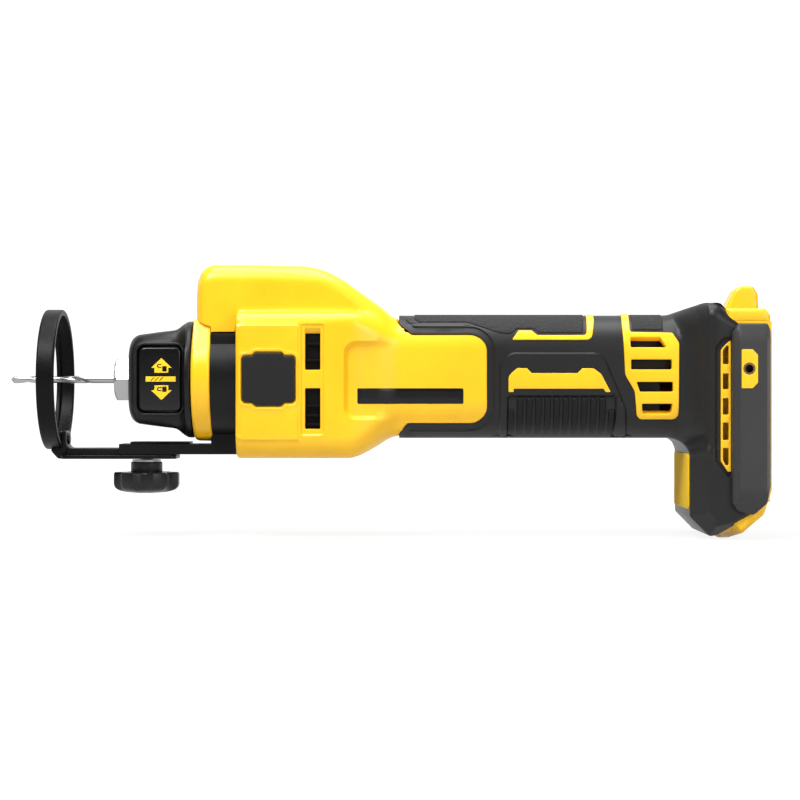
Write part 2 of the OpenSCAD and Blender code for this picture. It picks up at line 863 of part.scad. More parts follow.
// Insulated wire along a bent line [x, z] at one y, with mitred bends
module wire(line, y, r, m = 10) {
  rows = len(line);
  dirs = [for (k = [0:rows - 2]) (line[k + 1] - line[k]) / norm(line[k + 1] - line[k])];
  first_dir = concat([dirs[0]], dirs);
  next_dir = concat(dirs, [dirs[rows - 2]]);
  mid = [for (k = [0:rows - 1]) first_dir[k] + next_dir[k]];
  points = [
    for (k = [0:rows - 1], j = [0:m - 1])
      let (
        t = mid[k] / norm(mid[k]),
        stretch = 2 / norm(mid[k]),
        u = r * cos(360 * j / m) * stretch,
        v = r * sin(360 * j / m)
      )
      [line[k][0] - t[1] * u, y + v, line[k][1] + t[0] * u]
  ];
  side_a = [for (i = [0:rows - 2], k = [0:m - 1]) [i * m + k, i * m + (k + 1) % m,
    (i + 1) * m + (k + 1) % m]];
  side_b = [for (i = [0:rows - 2], k = [0:m - 1]) [i * m + k, (i + 1) * m + (k + 1) % m,
    (i + 1) * m + k]];
  polyhedron(points, concat(side_a, side_b, [[for (k = [m - 1:-1:0]) k]],
    [[for (k = [0:m - 1]) (rows - 1) * m + k]]));
}

module motor_leads() {
  color("white") place() for (y = [-4, 0, 4]) wire([
    [module_x - 0.2, board_z + 0.8], [module_x - 8, board_z + 0.4], [handle_x, -15.6],
    [body_len + 4.1, -17.2],
    [body_len - 1.9, motor_lead_z], [stator_x + stator_len + 3, motor_lead_z],
    [stator_x + stator_len + 2, motor_lead_z + 1.4]
  ], y, 1.1);
}

module switch_module() {
  color("dimgray") place()
    block(switch_x, switch_x + switch_len, -switch_half, switch_half, switch_low, switch_top);
}

module switch_slider() {
  color("dimgray") place() {
    block(slider_x, slider_x + slider_len, -pocket_half + air, pocket_half - air, pocket_floor + 0.3,
      hump_top - 0.6);
    block(stem_x, stem_x + stem_len, -2, 2, switch_top + 0.3, pocket_floor + 0.5);
  }
}

module led_lens() {
  color("white") place() translate([0, 0, lens_z]) {
    rod_x(-hump_nose + 0.2, -hump_nose + wall + 1.4, lens_r);
    rod_x(-hump_nose + wall + 0.1, -hump_nose + wall + 1.4, lens_r + 1);
  }
}

module led_board() {
  color("darkgreen") place()
    block(-hump_nose + wall + 1.5, -hump_nose + wall + 3.1, -6, 6, lens_z - 4.5, lens_z + 5.5);
}

module heat_sink() {
  color("silver") place() {
    block(module_x, module_x + module_len, -sink_half, sink_half, sink_low, board_z - 0.1);
    for (y = [-sink_half, sink_half - 1.5])
      block(module_x, module_x + module_len, y, y + 1.5, sink_low, board_top + 3);
  }
}

module controller_board() {
  color("darkgreen") place()
    block(module_x + 0.5, module_x + module_len - 0.5, -sink_half + 1.7, sink_half - 1.7, board_z,
      board_top);
}

module power_stage() {
  color("dimgray") place() for (x = [30, 38], y = [-11, -3.5, 4])
    block(module_x + x, module_x + x + 6, y, y + 7, board_top + 0.1, board_top + 2.6);
}

module capacitors() {
  color("black") place() for (y = [-6.5, 6.5]) translate([0, y, board_top + 6.1])
    rod_x(module_x + 8, module_x + 26, 6);
}

module battery_lead(y) {
  translate([0, y, lead_z]) rod_x(module_x + module_len - 7, block_x - 0.05, lead_r);
}

module lead_positive() {
  color("red") place() battery_lead(-7);
}

module lead_negative() {
  color("black") place() battery_lead(7);
}

module terminal_block() {
  color("dimgray") place() difference() {
    block(block_x, rail_x + 6, -block_half, block_half, -block_z, block_z);
    block(rail_x + 0.5, rail_x + 7, -block_half + 2, block_half - 2, -block_z - 1, block_z - 3);
  }
}

module terminal_blades() {
  color("gold") place() for (y = [-12, -6, 0, 6, 12])
    block(rail_x + 0.55, rail_x + 5.5, y - 0.4, y + 0.4, -block_z + 3, block_z - 3.1);
}

// Guide bracket: strap round the nose casting and a channel plate in front of it
module guide_bracket() {
  color("dimgray") place() difference() {
    union() {
      difference() {
        rod_x(ring_back + 0.3, -0.3, strap_r);
        block(ring_back, 0, -40, 40, 19.7, 40);
      }
      block(ring_back + 0.3, -0.3, -bar_w / 2, bar_w / 2, plate_low, -strap_r + 2);
      block(plate_front, ring_back + 1, -bar_w / 2, bar_w / 2, plate_low, plate_top);
      for (y = [-bar_w / 2, bar_w / 2 - flange_t])
        block(plate_front, -0.3, y, y + flange_t, flange_low, plate_low + 0.1);
    }
    rod_x(ring_back, 1, casting_r + bond);
    translate([knob_x, 0, plate_low - 1]) cylinder(h = 5, r = stud_r + 0.3);
    for (y = [-5, 5]) translate([ring_back / 2, y, plate_low]) {
      translate([0, 0, -1]) cylinder(h = 12, r = 1.6);
      translate([0, 0, -0.01]) cylinder(h = 1.7, r1 = 3.1, r2 = 1.6);
    }
  }
}

module bracket_screws() {
  color("silver") place() for (y = [-5, 5]) translate([ring_back / 2, y, plate_low + 0.1]) {
    cylinder(h = 1.5, r1 = 2.9, r2 = 1.5);
    cylinder(h = 4.2, r = 1.5);
  }
}

module nut_plate() {
  color("silver") place() difference() {
    block(knob_x - 6, ring_front - 2, -7, 7, plate_top + 0.02, plate_top + nut_plate_t);
    translate([knob_x, 0, plate_top - 1]) cylinder(h = 5, r = stud_r + fit);
  }
}

// Guide ring with the lug that takes the guide bar's upturned end
module guide_ring() {
  color("dimgray") place() difference() {
    union() {
      tube_x(guide_ring_front, guide_ring_back, guide_ring_r - guide_ring_wall, guide_ring_r);
      tube_x(guide_ring_front, guide_ring_front + 1.8, guide_ring_r - guide_ring_wall - 1.6,
        guide_ring_r - 1);
      intersection() {
        block(guide_ring_front, guide_ring_back, -6, 6, -guide_ring_r + 0.5, -guide_ring_r + 8);
        rod_x(guide_ring_front, guide_ring_back, guide_ring_r);
      }
    }
    translate([0, 0, -guide_ring_r + 4.6]) rod_x(guide_ring_front - 1, guide_ring_back + 1, 1.6);
  }
}

// Guide bar: tongue in the channel, wider lip below it, foot under the ring, upturned end
module guide_bar() {
  color("dimgray") place() difference() {
    union() {
      block(guide_ring_back + 0.1, bar_back, -tongue_w / 2, tongue_w / 2, lip_top - 0.1, tongue_top);
      block(guide_ring_back + 0.1, bar_back, -bar_w / 2, bar_w / 2, bar_low, lip_top);
      along_y(-bar_w / 2, bar_w / 2) {
        translate([bar_front + 2, bar_low]) square([guide_ring_back - bar_front, lip_t]);
        translate([bar_front + 2, bar_low + 2]) circle(2);
      }
      block(guide_ring_back + 0.1, guide_ring_back + 2.9, -6, 6, bar_low, -guide_ring_r + 8);
    }
    for (x = [knob_x - guide_back, knob_x + guide_forward])
      translate([x, 0, bar_low - 1]) cylinder(h = 10, r = stud_r + 0.4);
    block(knob_x - guide_back, knob_x + guide_forward, -stud_r - 0.4, stud_r + 0.4, bar_low - 1,
      tongue_top + 1);
    translate([0, 0, -guide_ring_r + 4.6]) rod_x(guide_ring_back - 1, guide_ring_back + 5, 1.6);
  }
}

module guide_rivet() {
  color("silver") place() translate([0, 0, -guide_ring_r + 4.6]) {
    rod_x(guide_ring_front + 0.3, guide_ring_back + 3.1, 1.5);
    rod_x(guide_ring_back + 3, guide_ring_back + 4.2, 2.8);
  }
}

module knob() {
  color("dimgray") place() difference() {
    union() {
      translate([knob_x, 0, head_top - 0.1]) cylinder(h = hub_h + 0.1, r = hub_r);
      translate([knob_x, 0, knob_low + 2]) cylinder(h = knob_h - 2, r = knob_d / 2);
      translate([knob_x, 0, knob_low]) cylinder(h = 2, r1 = knob_d / 2 - 4, r2 = knob_d / 2);
    }
    for (k = [0:5]) translate([knob_x, 0, knob_low - 1]) rotate([0, 0, k * 60 + 30])
      translate([knob_d / 2 + 2.6, 0, 0]) cylinder(h = knob_h + 1.2, r = 5);
    translate([knob_x, 0, knob_low + 3]) cylinder(h = 20, r = stud_r + fit);
  }
}

module knob_stud() {
  color("silver") place() translate([knob_x, 0, knob_low + 3.1])
    cylinder(h = plate_top + nut_plate_t - knob_low - 3.2, r = stud_r);
}

module knob_washer() {
  color("silver") place() difference() {
    translate([knob_x, 0, knob_top + 0.05]) cylinder(h = washer_t - 0.05, r = hub_r - 0.6);
    translate([knob_x, 0, knob_top - 1]) cylinder(h = 5, r = stud_r + fit);
  }
}

// Twist collar: rounded square that flares into the round rear flange
module lock_collar() {
  half = collar_w / 2;
  h = half - 1.4;
  color("dimgray") place() difference() {
    loft([
      [collar_front, h - 5.6, 5.6 - h, h - 5.6, 6], [collar_front + 0.7, h - 3.2, 3.2 - h, h - 3.2, 7.5],
      [collar_front + 2, h - 1.2, 1.2 - h, h - 1.2, 9.5], [collar_front + 4.1, h, -h, h, 11],
      [collar_back - 7.8, half + 0.4, -half - 0.4, half + 0.4, 12],
      [collar_back - 3.9, swing_r - 0.2, 0.2 - swing_r, swing_r - 0.2, swing_r - 0.6],
      [collar_back, swing_r, -swing_r, swing_r, swing_r - 0.3]
    ], 9);
    rod_x(collar_front - 1, collar_front + 5, nut_corner_r + 1);
    rod_x(collar_front + 3, collar_back - 12, boss_r + 2);
    rod_x(collar_front + 4, collar_back + 1, boss_r + fit);
    for (s = [-1, 1])
      block(collar_front + 5, collar_front + 5 + pad_len + 1, s > 0 ? half - 2.6 : -half - 9,
      s > 0 ? half + 9 : 2.6 - half, -pad_h / 2 - 0.5, pad_h / 2 + 0.5);
  }
}

module collar_pad() {
  half = collar_w / 2;
  block(collar_front + 5.5, collar_front + 5.5 + pad_len, -half, 2.5 - half, -pad_h / 2, pad_h / 2);
}

module collar_pad_left() {
  color("black") place() collar_pad();
}

module collar_pad_right() {
  color("black") place() mirror([0, 1, 0]) collar_pad();
}

module spindle() {
  color("silver") place() difference() {
    union() {
      rod_x(nut_front + nut_web + 0.1, front_bearing_x, head_r);
      rod_x(front_bearing_x - 1, rear_bearing_x - 0.4, shaft_r);
      rod_x(rear_bearing_x - 1, rear_bearing_x + rear_bearing_w, tail_r);
    }
    rod_x(nut_front, nut_front + nut_web + collet_len + 0.4, collet_r + fit);
  }
}

module collet() {
  color("silver") place() difference() {
    rod_x(nut_front + nut_web + 0.1, nut_front + nut_web + collet_len, collet_r);
    rod_x(nut_front, nut_front + nut_web + collet_len + 1, bit_r + fit);
    for (a = [30, 150, 270])
      rotate([a, 0, 0]) block(nut_front, nut_front + nut_web + collet_len - 4, -0.25, 0.25, 0, 9);
  }
}

module collet_nut() {
  color("silver") place() difference() {
    union() {
      intersection() {
        translate([nut_front, 0, 0]) rotate([0, 90, 0]) rotate([0, 0, 90])
          cylinder(h = nut_out + 4, r = nut_corner_r, $fn = 6);
        translate([nut_front, 0, 0]) rotate([0, 90, 0])
          cylinder(h = nut_out + 5, r1 = nut_corner_r - 2.2, r2 = nut_corner_r + 8);
      }
      rod_x(nut_front + nut_out + 3.9, nut_front + nut_out + 8, nut_af / 2 - 0.1);
    }
    rod_x(nut_front - 1, nut_front + 20, bit_r + 0.3);
    rod_x(nut_front + nut_web, nut_front + 30, head_r + fit);
  }
}

module rotor_core() {
  color("silver") place() tube_x(stator_x - 0.5, stator_x + stator_len + 0.5, shaft_r + fit, rotor_r);
}

module rotor_magnets() {
  color("dimgray") place() for (k = [0:3]) rotate([k * 90 + 4, 0, 0]) rotate([0, 90, 0])
    rotate_extrude(angle = 82) translate([rotor_r + 0.05, stator_x]) square([magnet_r - rotor_r - 0.05,
      stator_len]);
}

module fan() {
  color("dimgray") place() difference() {
    union() {
      rod_x(fan_x, fan_x + fan_len, 7.5);
      rod_x(fan_x + fan_len - 1.4, fan_x + fan_len, fan_r);
      for (k = [0:8]) rotate([k * 40, 0, 0]) block(fan_x, fan_x + fan_len - 1, -0.7, 0.7, 7, fan_r - 0.4);
    }
    rod_x(fan_x - 1, fan_x + fan_len + 1, shaft_r + fit);
  }
}

// Cutting bit: plain shank, two straight flutes for the twisted ones, pointed tip
module cutting_bit() {
  color("silver") place() difference() {
    union() {
      rod_x(bit_tip + 1.2, nut_front + bit_held, bit_r);
      translate([bit_tip, 0, 0]) rotate([0, 90, 0]) cylinder(h = 1.2, r1 = 0.3, r2 = bit_r);
    }
    for (a = [0, 180])
      rotate([a, 0, 0]) translate([0, 0, bit_r + 0.55]) rod_x(bit_tip - 1, nut_front - 10, 0.9);
  }
}

housing_left();
housing_right();
grip_left();
grip_right();
side_pad_left();
side_pad_right();
rail_cover_left();
rail_cover_right();
hook_badges();
hook_inserts();
housing_screws();
front_ring();
nose_casting();
guide_bracket();
bracket_screws();
nut_plate();
front_bearing_outer();
bearing_circlip();
collar_circlip();
rear_bearing_outer();
bearing_sleeve();
stator_core();
stator_coils();
stator_insulators();
sensor_board();
motor_leads();
switch_module();
led_lens();
led_board();
heat_sink();
controller_board();
power_stage();
capacitors();
lead_positive();
lead_negative();
terminal_block();
terminal_blades();
guide_ring();
guide_bar();
guide_rivet();
knob();
knob_stud();
knob_washer();
lock_collar();
collar_pad_left();
collar_pad_right();
spindle();
rotor_core();
rotor_magnets();
fan();
collet();
collet_nut();
front_bearing_inner();
rear_bearing_inner();
front_bearing_balls();
rear_bearing_balls();
cutting_bit();
switch_slider();
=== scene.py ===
import json
import math

import bpy
import numpy as np
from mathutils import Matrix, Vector
from mathutils.geometry import delaunay_2d_cdt


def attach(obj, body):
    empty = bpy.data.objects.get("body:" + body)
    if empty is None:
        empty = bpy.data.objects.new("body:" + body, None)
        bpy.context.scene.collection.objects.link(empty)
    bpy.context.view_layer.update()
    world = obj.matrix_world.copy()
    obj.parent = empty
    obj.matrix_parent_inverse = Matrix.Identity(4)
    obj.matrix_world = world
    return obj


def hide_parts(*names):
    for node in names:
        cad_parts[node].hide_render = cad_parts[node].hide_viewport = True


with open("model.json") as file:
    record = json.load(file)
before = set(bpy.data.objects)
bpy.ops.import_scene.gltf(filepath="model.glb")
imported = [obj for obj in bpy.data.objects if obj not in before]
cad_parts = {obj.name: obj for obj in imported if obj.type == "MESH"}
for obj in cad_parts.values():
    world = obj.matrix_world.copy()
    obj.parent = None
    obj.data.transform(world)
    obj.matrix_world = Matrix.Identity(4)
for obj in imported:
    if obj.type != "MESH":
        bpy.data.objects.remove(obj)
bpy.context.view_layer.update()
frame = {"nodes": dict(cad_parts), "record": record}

# Motor housing: the two yellow clamshell halves round the motor, moulded in glass-filled nylon.
# The section is a rounded box with a narrower hump on it, and it tapers into the label tongue.
# Each half meets the other on the middle plane and is drawn together by screws from the right side.

AXIS = np.array([-60.5, 0.0, 65.0])  # from the tool's own axes (spindle along x) to the row frame, mm


def dial(node, values):
    """Sets a node's inputs from a table of names and values."""
    for key, value in values.items():
        node.inputs[key].default_value = value


def new_group(name, inputs):
    """A shader group with float inputs and the outputs Tone, Roughness and Height: group, nodes, link, ends."""
    group = bpy.data.node_groups.new(name, "ShaderNodeTree")
    for key, value in inputs.items():
        group.interface.new_socket(key, in_out="INPUT", socket_type="NodeSocketFloat").default_value = value
    for key in ("Tone", "Roughness", "Height"):
        group.interface.new_socket(key, in_out="OUTPUT", socket_type="NodeSocketFloat")
    n = group.nodes
    return group, n, group.links.new, n.new("NodeGroupInput"), n.new("NodeGroupOutput")


def grain_group():
    """Shader group of a moulded skin: fine and coarse noise in, a tone factor, a roughness and a height out."""
    sockets = {"Fine": 2600.0, "Coarse": 45.0, "Rough": 0.4, "Spread": 0.12}
    group, n, link, given, out = new_group("moulded_grain", sockets)
    where, fine, coarse, tone, centred, spread = (n.new("ShaderNode" + k) for k in (
        "TexCoord", "TexNoise", "TexNoise", "MapRange", "Math", "Math"))
    for node, key, detail in ((fine, "Fine", 3.0), (coarse, "Coarse", 5.0)):
        link(where.outputs["Object"], node.inputs["Vector"])
        link(given.outputs[key], node.inputs["Scale"])
        node.inputs["Detail"].default_value = detail
    dial(tone, {"From Min": 0.3, "From Max": 0.7, "To Min": 0.93, "To Max": 1.05})
    centred.operation, spread.operation = "SUBTRACT", "MULTIPLY_ADD"
    centred.inputs[1].default_value = 0.5
    for start, end in ((coarse.outputs["Fac"], tone.inputs["Value"]), (tone.outputs["Result"], out.inputs["Tone"]),
                       (coarse.outputs["Fac"], centred.inputs[0]), (centred.outputs[0], spread.inputs[0]),
                       (given.outputs["Spread"], spread.inputs[1]), (given.outputs["Rough"], spread.inputs[2]),
                       (spread.outputs[0], out.inputs["Roughness"]), (fine.outputs["Fac"], out.inputs["Height"])):
        link(start, end)
    return group


GRAIN = grain_group()


def skin(name, colour, rough, bump=0.06, fine=2600.0, coarse=45.0, spread=0.15, metallic=0.0, specular=0.5,
         depth=0.0002):
    """A finish on the moulded grain: its tone varies the colour, its height feeds the bump, the rest is set here."""
    finish = bpy.data.materials.new(name)
    finish.use_nodes = True
    n, link = finish.node_tree.nodes, finish.node_tree.links.new
    shader = n["Principled BSDF"]
    grain, tint, raised = (n.new("ShaderNode" + k) for k in ("Group", "Mix", "Bump"))
    grain.node_tree = GRAIN
    tint.data_type, tint.blend_type = "RGBA", "MULTIPLY"
    dial(grain, {"Fine": fine, "Coarse": coarse, "Rough": rough, "Spread": spread})
    dial(tint, {"Factor": 1.0, "A": (*colour, 1.0)})
    dial(raised, {"Strength": bump, "Distance": depth})
    dial(shader, {"Metallic": metallic, "Specular IOR Level": specular})
    for start, end in ((grain.outputs["Tone"], tint.inputs["B"]), (tint.outputs["Result"], shader.inputs["Base Color"]),
                       (grain.outputs["Roughness"], shader.inputs["Roughness"]),
                       (grain.outputs["Height"], raised.inputs["Height"]),
                       (raised.outputs["Normal"], shader.inputs["Normal"])):
        link(start, end)
    return finish


YELLOW = skin("yellow_nylon", (1.0, 0.56, 0.012), 0.3, bump=0.05, specular=0.42)


def put(name, points, faces, finish, body="tool", stands_for=(), slot=None, crease=32.0):
    """A mesh object from points in mm on the tool's axes and arrays of faces; sharp where faces meet past crease."""
    mesh = bpy.data.meshes.new(name)
    points = (np.asarray(points, float) + AXIS) * 0.001
    faces = [np.asarray(f, np.int32) for f in faces if len(f)]
    corners = np.concatenate([f.ravel() for f in faces])
    sizes = np.concatenate([np.full(len(f), f.shape[1], np.int32) for f in faces])
    mesh.vertices.add(len(points))
    mesh.vertices.foreach_set("co", points.ravel())
    mesh.loops.add(len(corners))
    mesh.loops.foreach_set("vertex_index", corners)
    mesh.polygons.add(len(sizes))
    mesh.polygons.foreach_set("loop_start", (np.cumsum(sizes) - sizes).astype(np.int32))
    mesh.update(calc_edges=True)
    mesh.validate()
    mesh.shade_smooth()
    mesh.set_sharp_from_angle(angle=math.radians(crease))
    mesh.materials.append(finish)
    piece = bpy.data.objects.new(name, mesh)
    bpy.context.scene.collection.objects.link(piece)
    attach(piece, body)
    if stands_for:
        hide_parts(*stands_for)
    return piece


def mirrored(points, faces):
    """The same piece on the other side of the middle plane, with its faces turned round."""
    return np.asarray(points) * (1, -1, 1), [np.asarray(f)[:, ::-1] for f in faces]


def on_side(side, mesh):
    """The mesh as it is for the left side and mirrored for the right."""
    return mesh if side == "left" else mirrored(*mesh)


def both_sides(name, points, faces, finish, stands_for=(), **more):
    """The left piece as given and the right piece mirrored."""
    for side in ("left", "right"):
        nodes = [f"{s}_{side}" for s in stands_for]
        put(f"{name}_{side}", *on_side(side, (points, faces)), finish, stands_for=nodes, **more)


def divide(loop, step):
    """A closed outline with every straight run divided into equal parts no longer than step."""
    loop = np.asarray(loop, float)
    run = np.roll(loop, -1, 0) - loop
    parts = np.maximum(1, np.ceil(np.hypot(*run.T) / step - 1e-6)).astype(int)
    first = np.repeat(np.cumsum(parts) - parts, parts)
    share = (np.arange(parts.sum()) - first) / np.repeat(parts, parts)
    return np.repeat(loop, parts, 0) + np.repeat(run, parts, 0) * share[:, None]


def rounded(corners, step=1.0):
    """A closed outline through (x, z, radius) corners: each corner becomes its tangent arc, then runs are divided."""
    given = np.array([(*c, 0.0)[:3] for c in corners])
    out = []
    for i, (point, radius) in enumerate(zip(given[:, :2], given[:, 2])):
        back, on = given[i - 1, :2] - point, given[(i + 1) % len(given), :2] - point
        u, v = back / np.hypot(*back), on / np.hypot(*on)
        angle = math.acos(max(-1.0, min(1.0, float(u @ v))))
        if radius < 1e-6 or angle > math.pi - 1e-3:
            out.append(point[None])
            continue
        cut = min(radius / math.tan(angle / 2), 0.49 * np.hypot(*back), 0.49 * np.hypot(*on))
        radius, turn = cut * math.tan(angle / 2), math.pi - angle
        centre = point + (u + v) / np.hypot(*(u + v)) * radius / math.sin(angle / 2)
        t = np.linspace(0, 1, max(3, int(turn * radius / step) + 2, int(turn / 0.26) + 1))[:, None]
        a, b = point + u * cut - centre, point + v * cut - centre
        out.append(centre + (np.sin((1 - t) * turn) * a + np.sin(t * turn) * b) / math.sin(turn))
    return divide(np.concatenate(out), step)


def box_outline(x0, x1, z0, z1, r=0.0, step=1.0):
    """A rectangle with corner radius r as a closed outline."""
    return rounded([(x0, z0, r), (x1, z0, r), (x1, z1, r), (x0, z1, r)], step)


def round_angles(count):
    """Even angles round a full turn."""
    return np.arange(count) * 2 * np.pi / count


def disc_outline(x, z, r, count=24):
    """A circle as a closed outline."""
    t = round_angles(count)
    return np.stack([x + r * np.cos(t), z + r * np.sin(t)], 1)


def inside(points, loop):
    """Even-odd test: True where a ray from the point crosses the closed outline an odd number of times."""
    px, pz = points[:, :1], points[:, 1:2]
    a, b = loop, np.roll(loop, -1, 0)
    spans = (a[:, 1] > pz) != (b[:, 1] > pz)
    rise = np.where(np.abs(b[:, 1] - a[:, 1]) < 1e-12, 1e-12, b[:, 1] - a[:, 1])
    return (spans & (px < a[:, 0] + (pz - a[:, 1]) / rise * (b[:, 0] - a[:, 0]))).sum(1) % 2 == 1


def nearest(points, line, closed=True):
    """Distance from each point to a polyline and the place along it, in segments, of the nearest spot."""
    a = line if closed else line[:-1]
    run = (np.roll(line, -1, 0) if closed else line[1:]) - a
    far, spot = [], []
    for block in np.array_split(points, max(1, len(points) * len(a) // 2_000_000 + 1)):
        away = block[:, None] - a
        t = np.clip((away * run).sum(2) / np.maximum((run ** 2).sum(1), 1e-12), 0, 1)
        d = np.hypot(*np.moveaxis(away - t[..., None] * run, 2, 0))
        k = d.argmin(1)
        rows = np.arange(len(block))
        far.append(d[rows, k])
        spot.append(k + t[rows, k])
    return np.concatenate(far), np.concatenate(spot)


def depth_in(points, loop):
    """Distance from the outline, positive inside it."""
    d, _ = nearest(points, loop)
    return np.where(inside(points, loop), d, -d)


def ease(t):
    """Smooth step from 0 to 1."""
    t = np.clip(t, 0, 1)
    return t * t * (3 - 2 * t)


def inset(loop, distance):
    """The outline moved to its left by a distance along mitred normals."""
    run = np.roll(loop, -1, 0) - loop
    run /= np.maximum(np.hypot(*run.T), 1e-9)[:, None]
    left = np.stack([-run[:, 1], run[:, 0]], 1)
    both = left + np.roll(left, 1, 0)
    both /= np.maximum(np.hypot(*both.T), 1e-6)[:, None]
    stretch = 1 / np.clip((both * left).sum(1), 0.6, 1)
    return loop + both * (stretch * distance)[:, None]


def turned(loop, way):
    """The outline running anticlockwise for way 1 and clockwise for way -1."""
    x, z = loop.T
    area = (x * np.roll(z, -1) - np.roll(x, -1) * z).sum()
    return loop if area * way > 0 else loop[::-1]


def panel(outline, holes, place, top, low, lip, pitch, folds=()):
    """A plate over a surface: place(s, t, h) puts a point at height h. Its rims are quarter rounds of radius lip, its
    walls drop from top to low, each a height or a function, and inside it is triangulated through a lattice and the
    folds."""
    over, under = (v if callable(v) else lambda p, v=v: np.full(len(p), float(v)) for v in (top, low))
    loops = [turned(outline, 1)] + [turned(h, -1) for h in holes]
    lips = np.broadcast_to(lip, len(loops))
    turns = np.linspace(0, np.pi / 2, 5)
    rings = [[inset(loop, r * (1 - math.cos(t))) for t in turns] for loop, r in zip(loops, lips)]

    def between(points):
        """True inside the outer rim and outside the holes' rims."""
        keep = inside(points, rings[0][-1])
        for ring in rings[1:]:
            keep &= ~inside(points, ring[-1])
        return keep

    firm, edges = [], []
    for line in [r[-1] for r in rings] + list(folds):
        start = sum(map(len, firm))
        k = np.arange(len(line))
        step = np.hypot(*(line[1:] - line[:-1]).T).max()
        k = k[:-1] if np.hypot(*(line[0] - line[-1])) > 1.5 * step else k
        edges.append(np.stack([start + k, start + (k + 1) % len(line)], 1))
        firm.append(line)
    count = sum(map(len, firm))
    fixed = np.concatenate(firm)
    lo, hi = loops[0].min(0), loops[0].max(0)
    s, t = np.meshgrid(np.arange(lo[0] + pitch / 2, hi[0], pitch), np.arange(lo[1] + pitch / 2, hi[1], pitch))
    s = s + pitch / 2 * (np.arange(len(s)) % 2)[:, None]
    lattice = np.stack([s.ravel(), t.ravel()], 1)
    lattice = lattice[between(lattice)]
    away, _ = nearest(lattice, np.stack([fixed, fixed + 1e-6], 1).reshape(-1, 2), False)
    lattice = lattice[away > 0.5 * pitch]
    flat, _, tris, origin, _, _ = delaunay_2d_cdt(
        [Vector(p) for p in np.concatenate([fixed, lattice]).tolist()], np.concatenate(edges).tolist(), [], 0, 1e-5)
    flat = np.array([p[:] for p in flat])
    tris = np.array([t for t in tris if len(t) == 3])
    tris = tris[between(flat[tris].mean(1))]
    new = np.repeat(np.arange(len(origin)), [len(olds) for olds in origin])
    old = np.concatenate(origin).astype(int)
    landed = np.zeros(count, int)
    landed[old[old < count]] = new[old < count]
    points = [place(flat[:, 0], flat[:, 1], over(flat)), place(flat[:, 0], flat[:, 1], under(flat))]
    size, start = len(flat), 2 * len(flat)
    quads, done = [], 0
    for loop, ring, r in zip(loops, rings, lips):
        n = len(loop)
        k, on = np.arange(n), (np.arange(n) + 1) % n
        inner = landed[done:done + n]
        rows = [start + n * j + k for j in range(4)]
        for line, turn in zip(ring[:4], turns):
            points.append(place(line[:, 0], line[:, 1], over(line) - r * (1 - math.sin(turn))))
        foot = start + 4 * n + k
        points.append(place(loop[:, 0], loop[:, 1], under(loop)))
        chain = [foot] + rows + [inner]
        quads += [np.stack([a, a[on], b[on], b], 1) for a, b in zip(chain, chain[1:])]
        quads.append(np.stack([inner + size, (inner + size)[on], foot[on], foot], 1))
        start += 5 * n
        done += n
    return np.concatenate(points), [tris, tris[:, ::-1] + size, np.concatenate(quads)]


def round_box(y, z, half, low, high, r_low, r_high):
    """Signed distance to a box |y| < half, low < z < high whose lower and upper corners have their own radii."""
    r = np.where(z > (low + high) / 2, r_high, r_low)
    a, b = np.abs(y) - half + r, np.abs(z - (low + high) / 2) - (high - low) / 2 + r
    return np.hypot(np.maximum(a, 0), np.maximum(b, 0)) + np.minimum(np.maximum(a, b), 0) - r


def soft_min(a, b, k):
    """The lesser of two distances, with the corner between them filled to a fillet of about k."""
    return np.minimum(a, b) - np.maximum(k - np.abs(a - b), 0) ** 2 / (4 * k)


def hump_top(x):
    """Height of the hump along x: a flat top rounded into the rear slope."""
    nose_r = 8.0
    slope = 47.5 - (x - 35.0) * 0.72
    front = 39.5 + np.sqrt(np.maximum(nose_r ** 2 - np.maximum(-8.8 - x, 0) ** 2, 0))
    return np.minimum(soft_min(slope, 47.4 - 0.024 * np.maximum(x - 4, 0), 7.0), front)


def nose_taper(x):
    """How much the hump's half width gives way to the rounded corner of its nose."""
    corner_r = 5.0
    return corner_r - np.sqrt(np.maximum(corner_r ** 2 - np.maximum(-11.8 - x, 0) ** 2, 0))


def housing_section(x, y, z):
    """Distance to the housing's skin: body box, taper to the tongue, hump with a filleted foot, rounded front edges.
    In front of the body, at negative x, only the hump is left."""
    s = ease((x - 45.5) / 23)
    edge_r = 1.6
    edge = edge_r - np.sqrt(np.maximum(edge_r ** 2 - np.maximum(edge_r - x, 0) ** 2, 0))
    half, low, high = 27.5 - 5.1 * s, -32.6 + 9.0 * s, 27.6 - 2.0 * s
    body = round_box(y, z, half - edge, low + edge, high - edge, 9.5 + 5.0 * s, 5.2 + 8.8 * s)
    hump = round_box(y, z, 19.0 - nose_taper(x), -24.0, hump_top(x), 5.0, 7.6)
    scoop = np.sqrt(((x - 30.0) / 15) ** 2 + ((np.abs(y) - 23.5) / 8) ** 2 + ((z - 50.0) / 8.5) ** 2) * 8 - 8
    return -soft_min(-soft_min(np.where(x < 0, 99.0, body), hump, 1.6), scoop, 2.5)


def ray_table(section, x, centre, angles):
    """For each x and angle, the point where a ray from the centre leaves the section, found by halving."""
    x, angles = x[:, None], angles[None]
    near, far = np.full((len(x), angles.shape[1]), 1.0), np.full((len(x), angles.shape[1]), 90.0)
    for _ in range(34):
        mid = (near + far) / 2
        out = section(x + 0 * mid, -mid * np.cos(angles), centre + mid * np.sin(angles)) > 0
        near, far = np.where(out, near, mid), np.where(out, mid, far)
    return -near * np.cos(angles), centre + near * np.sin(angles)


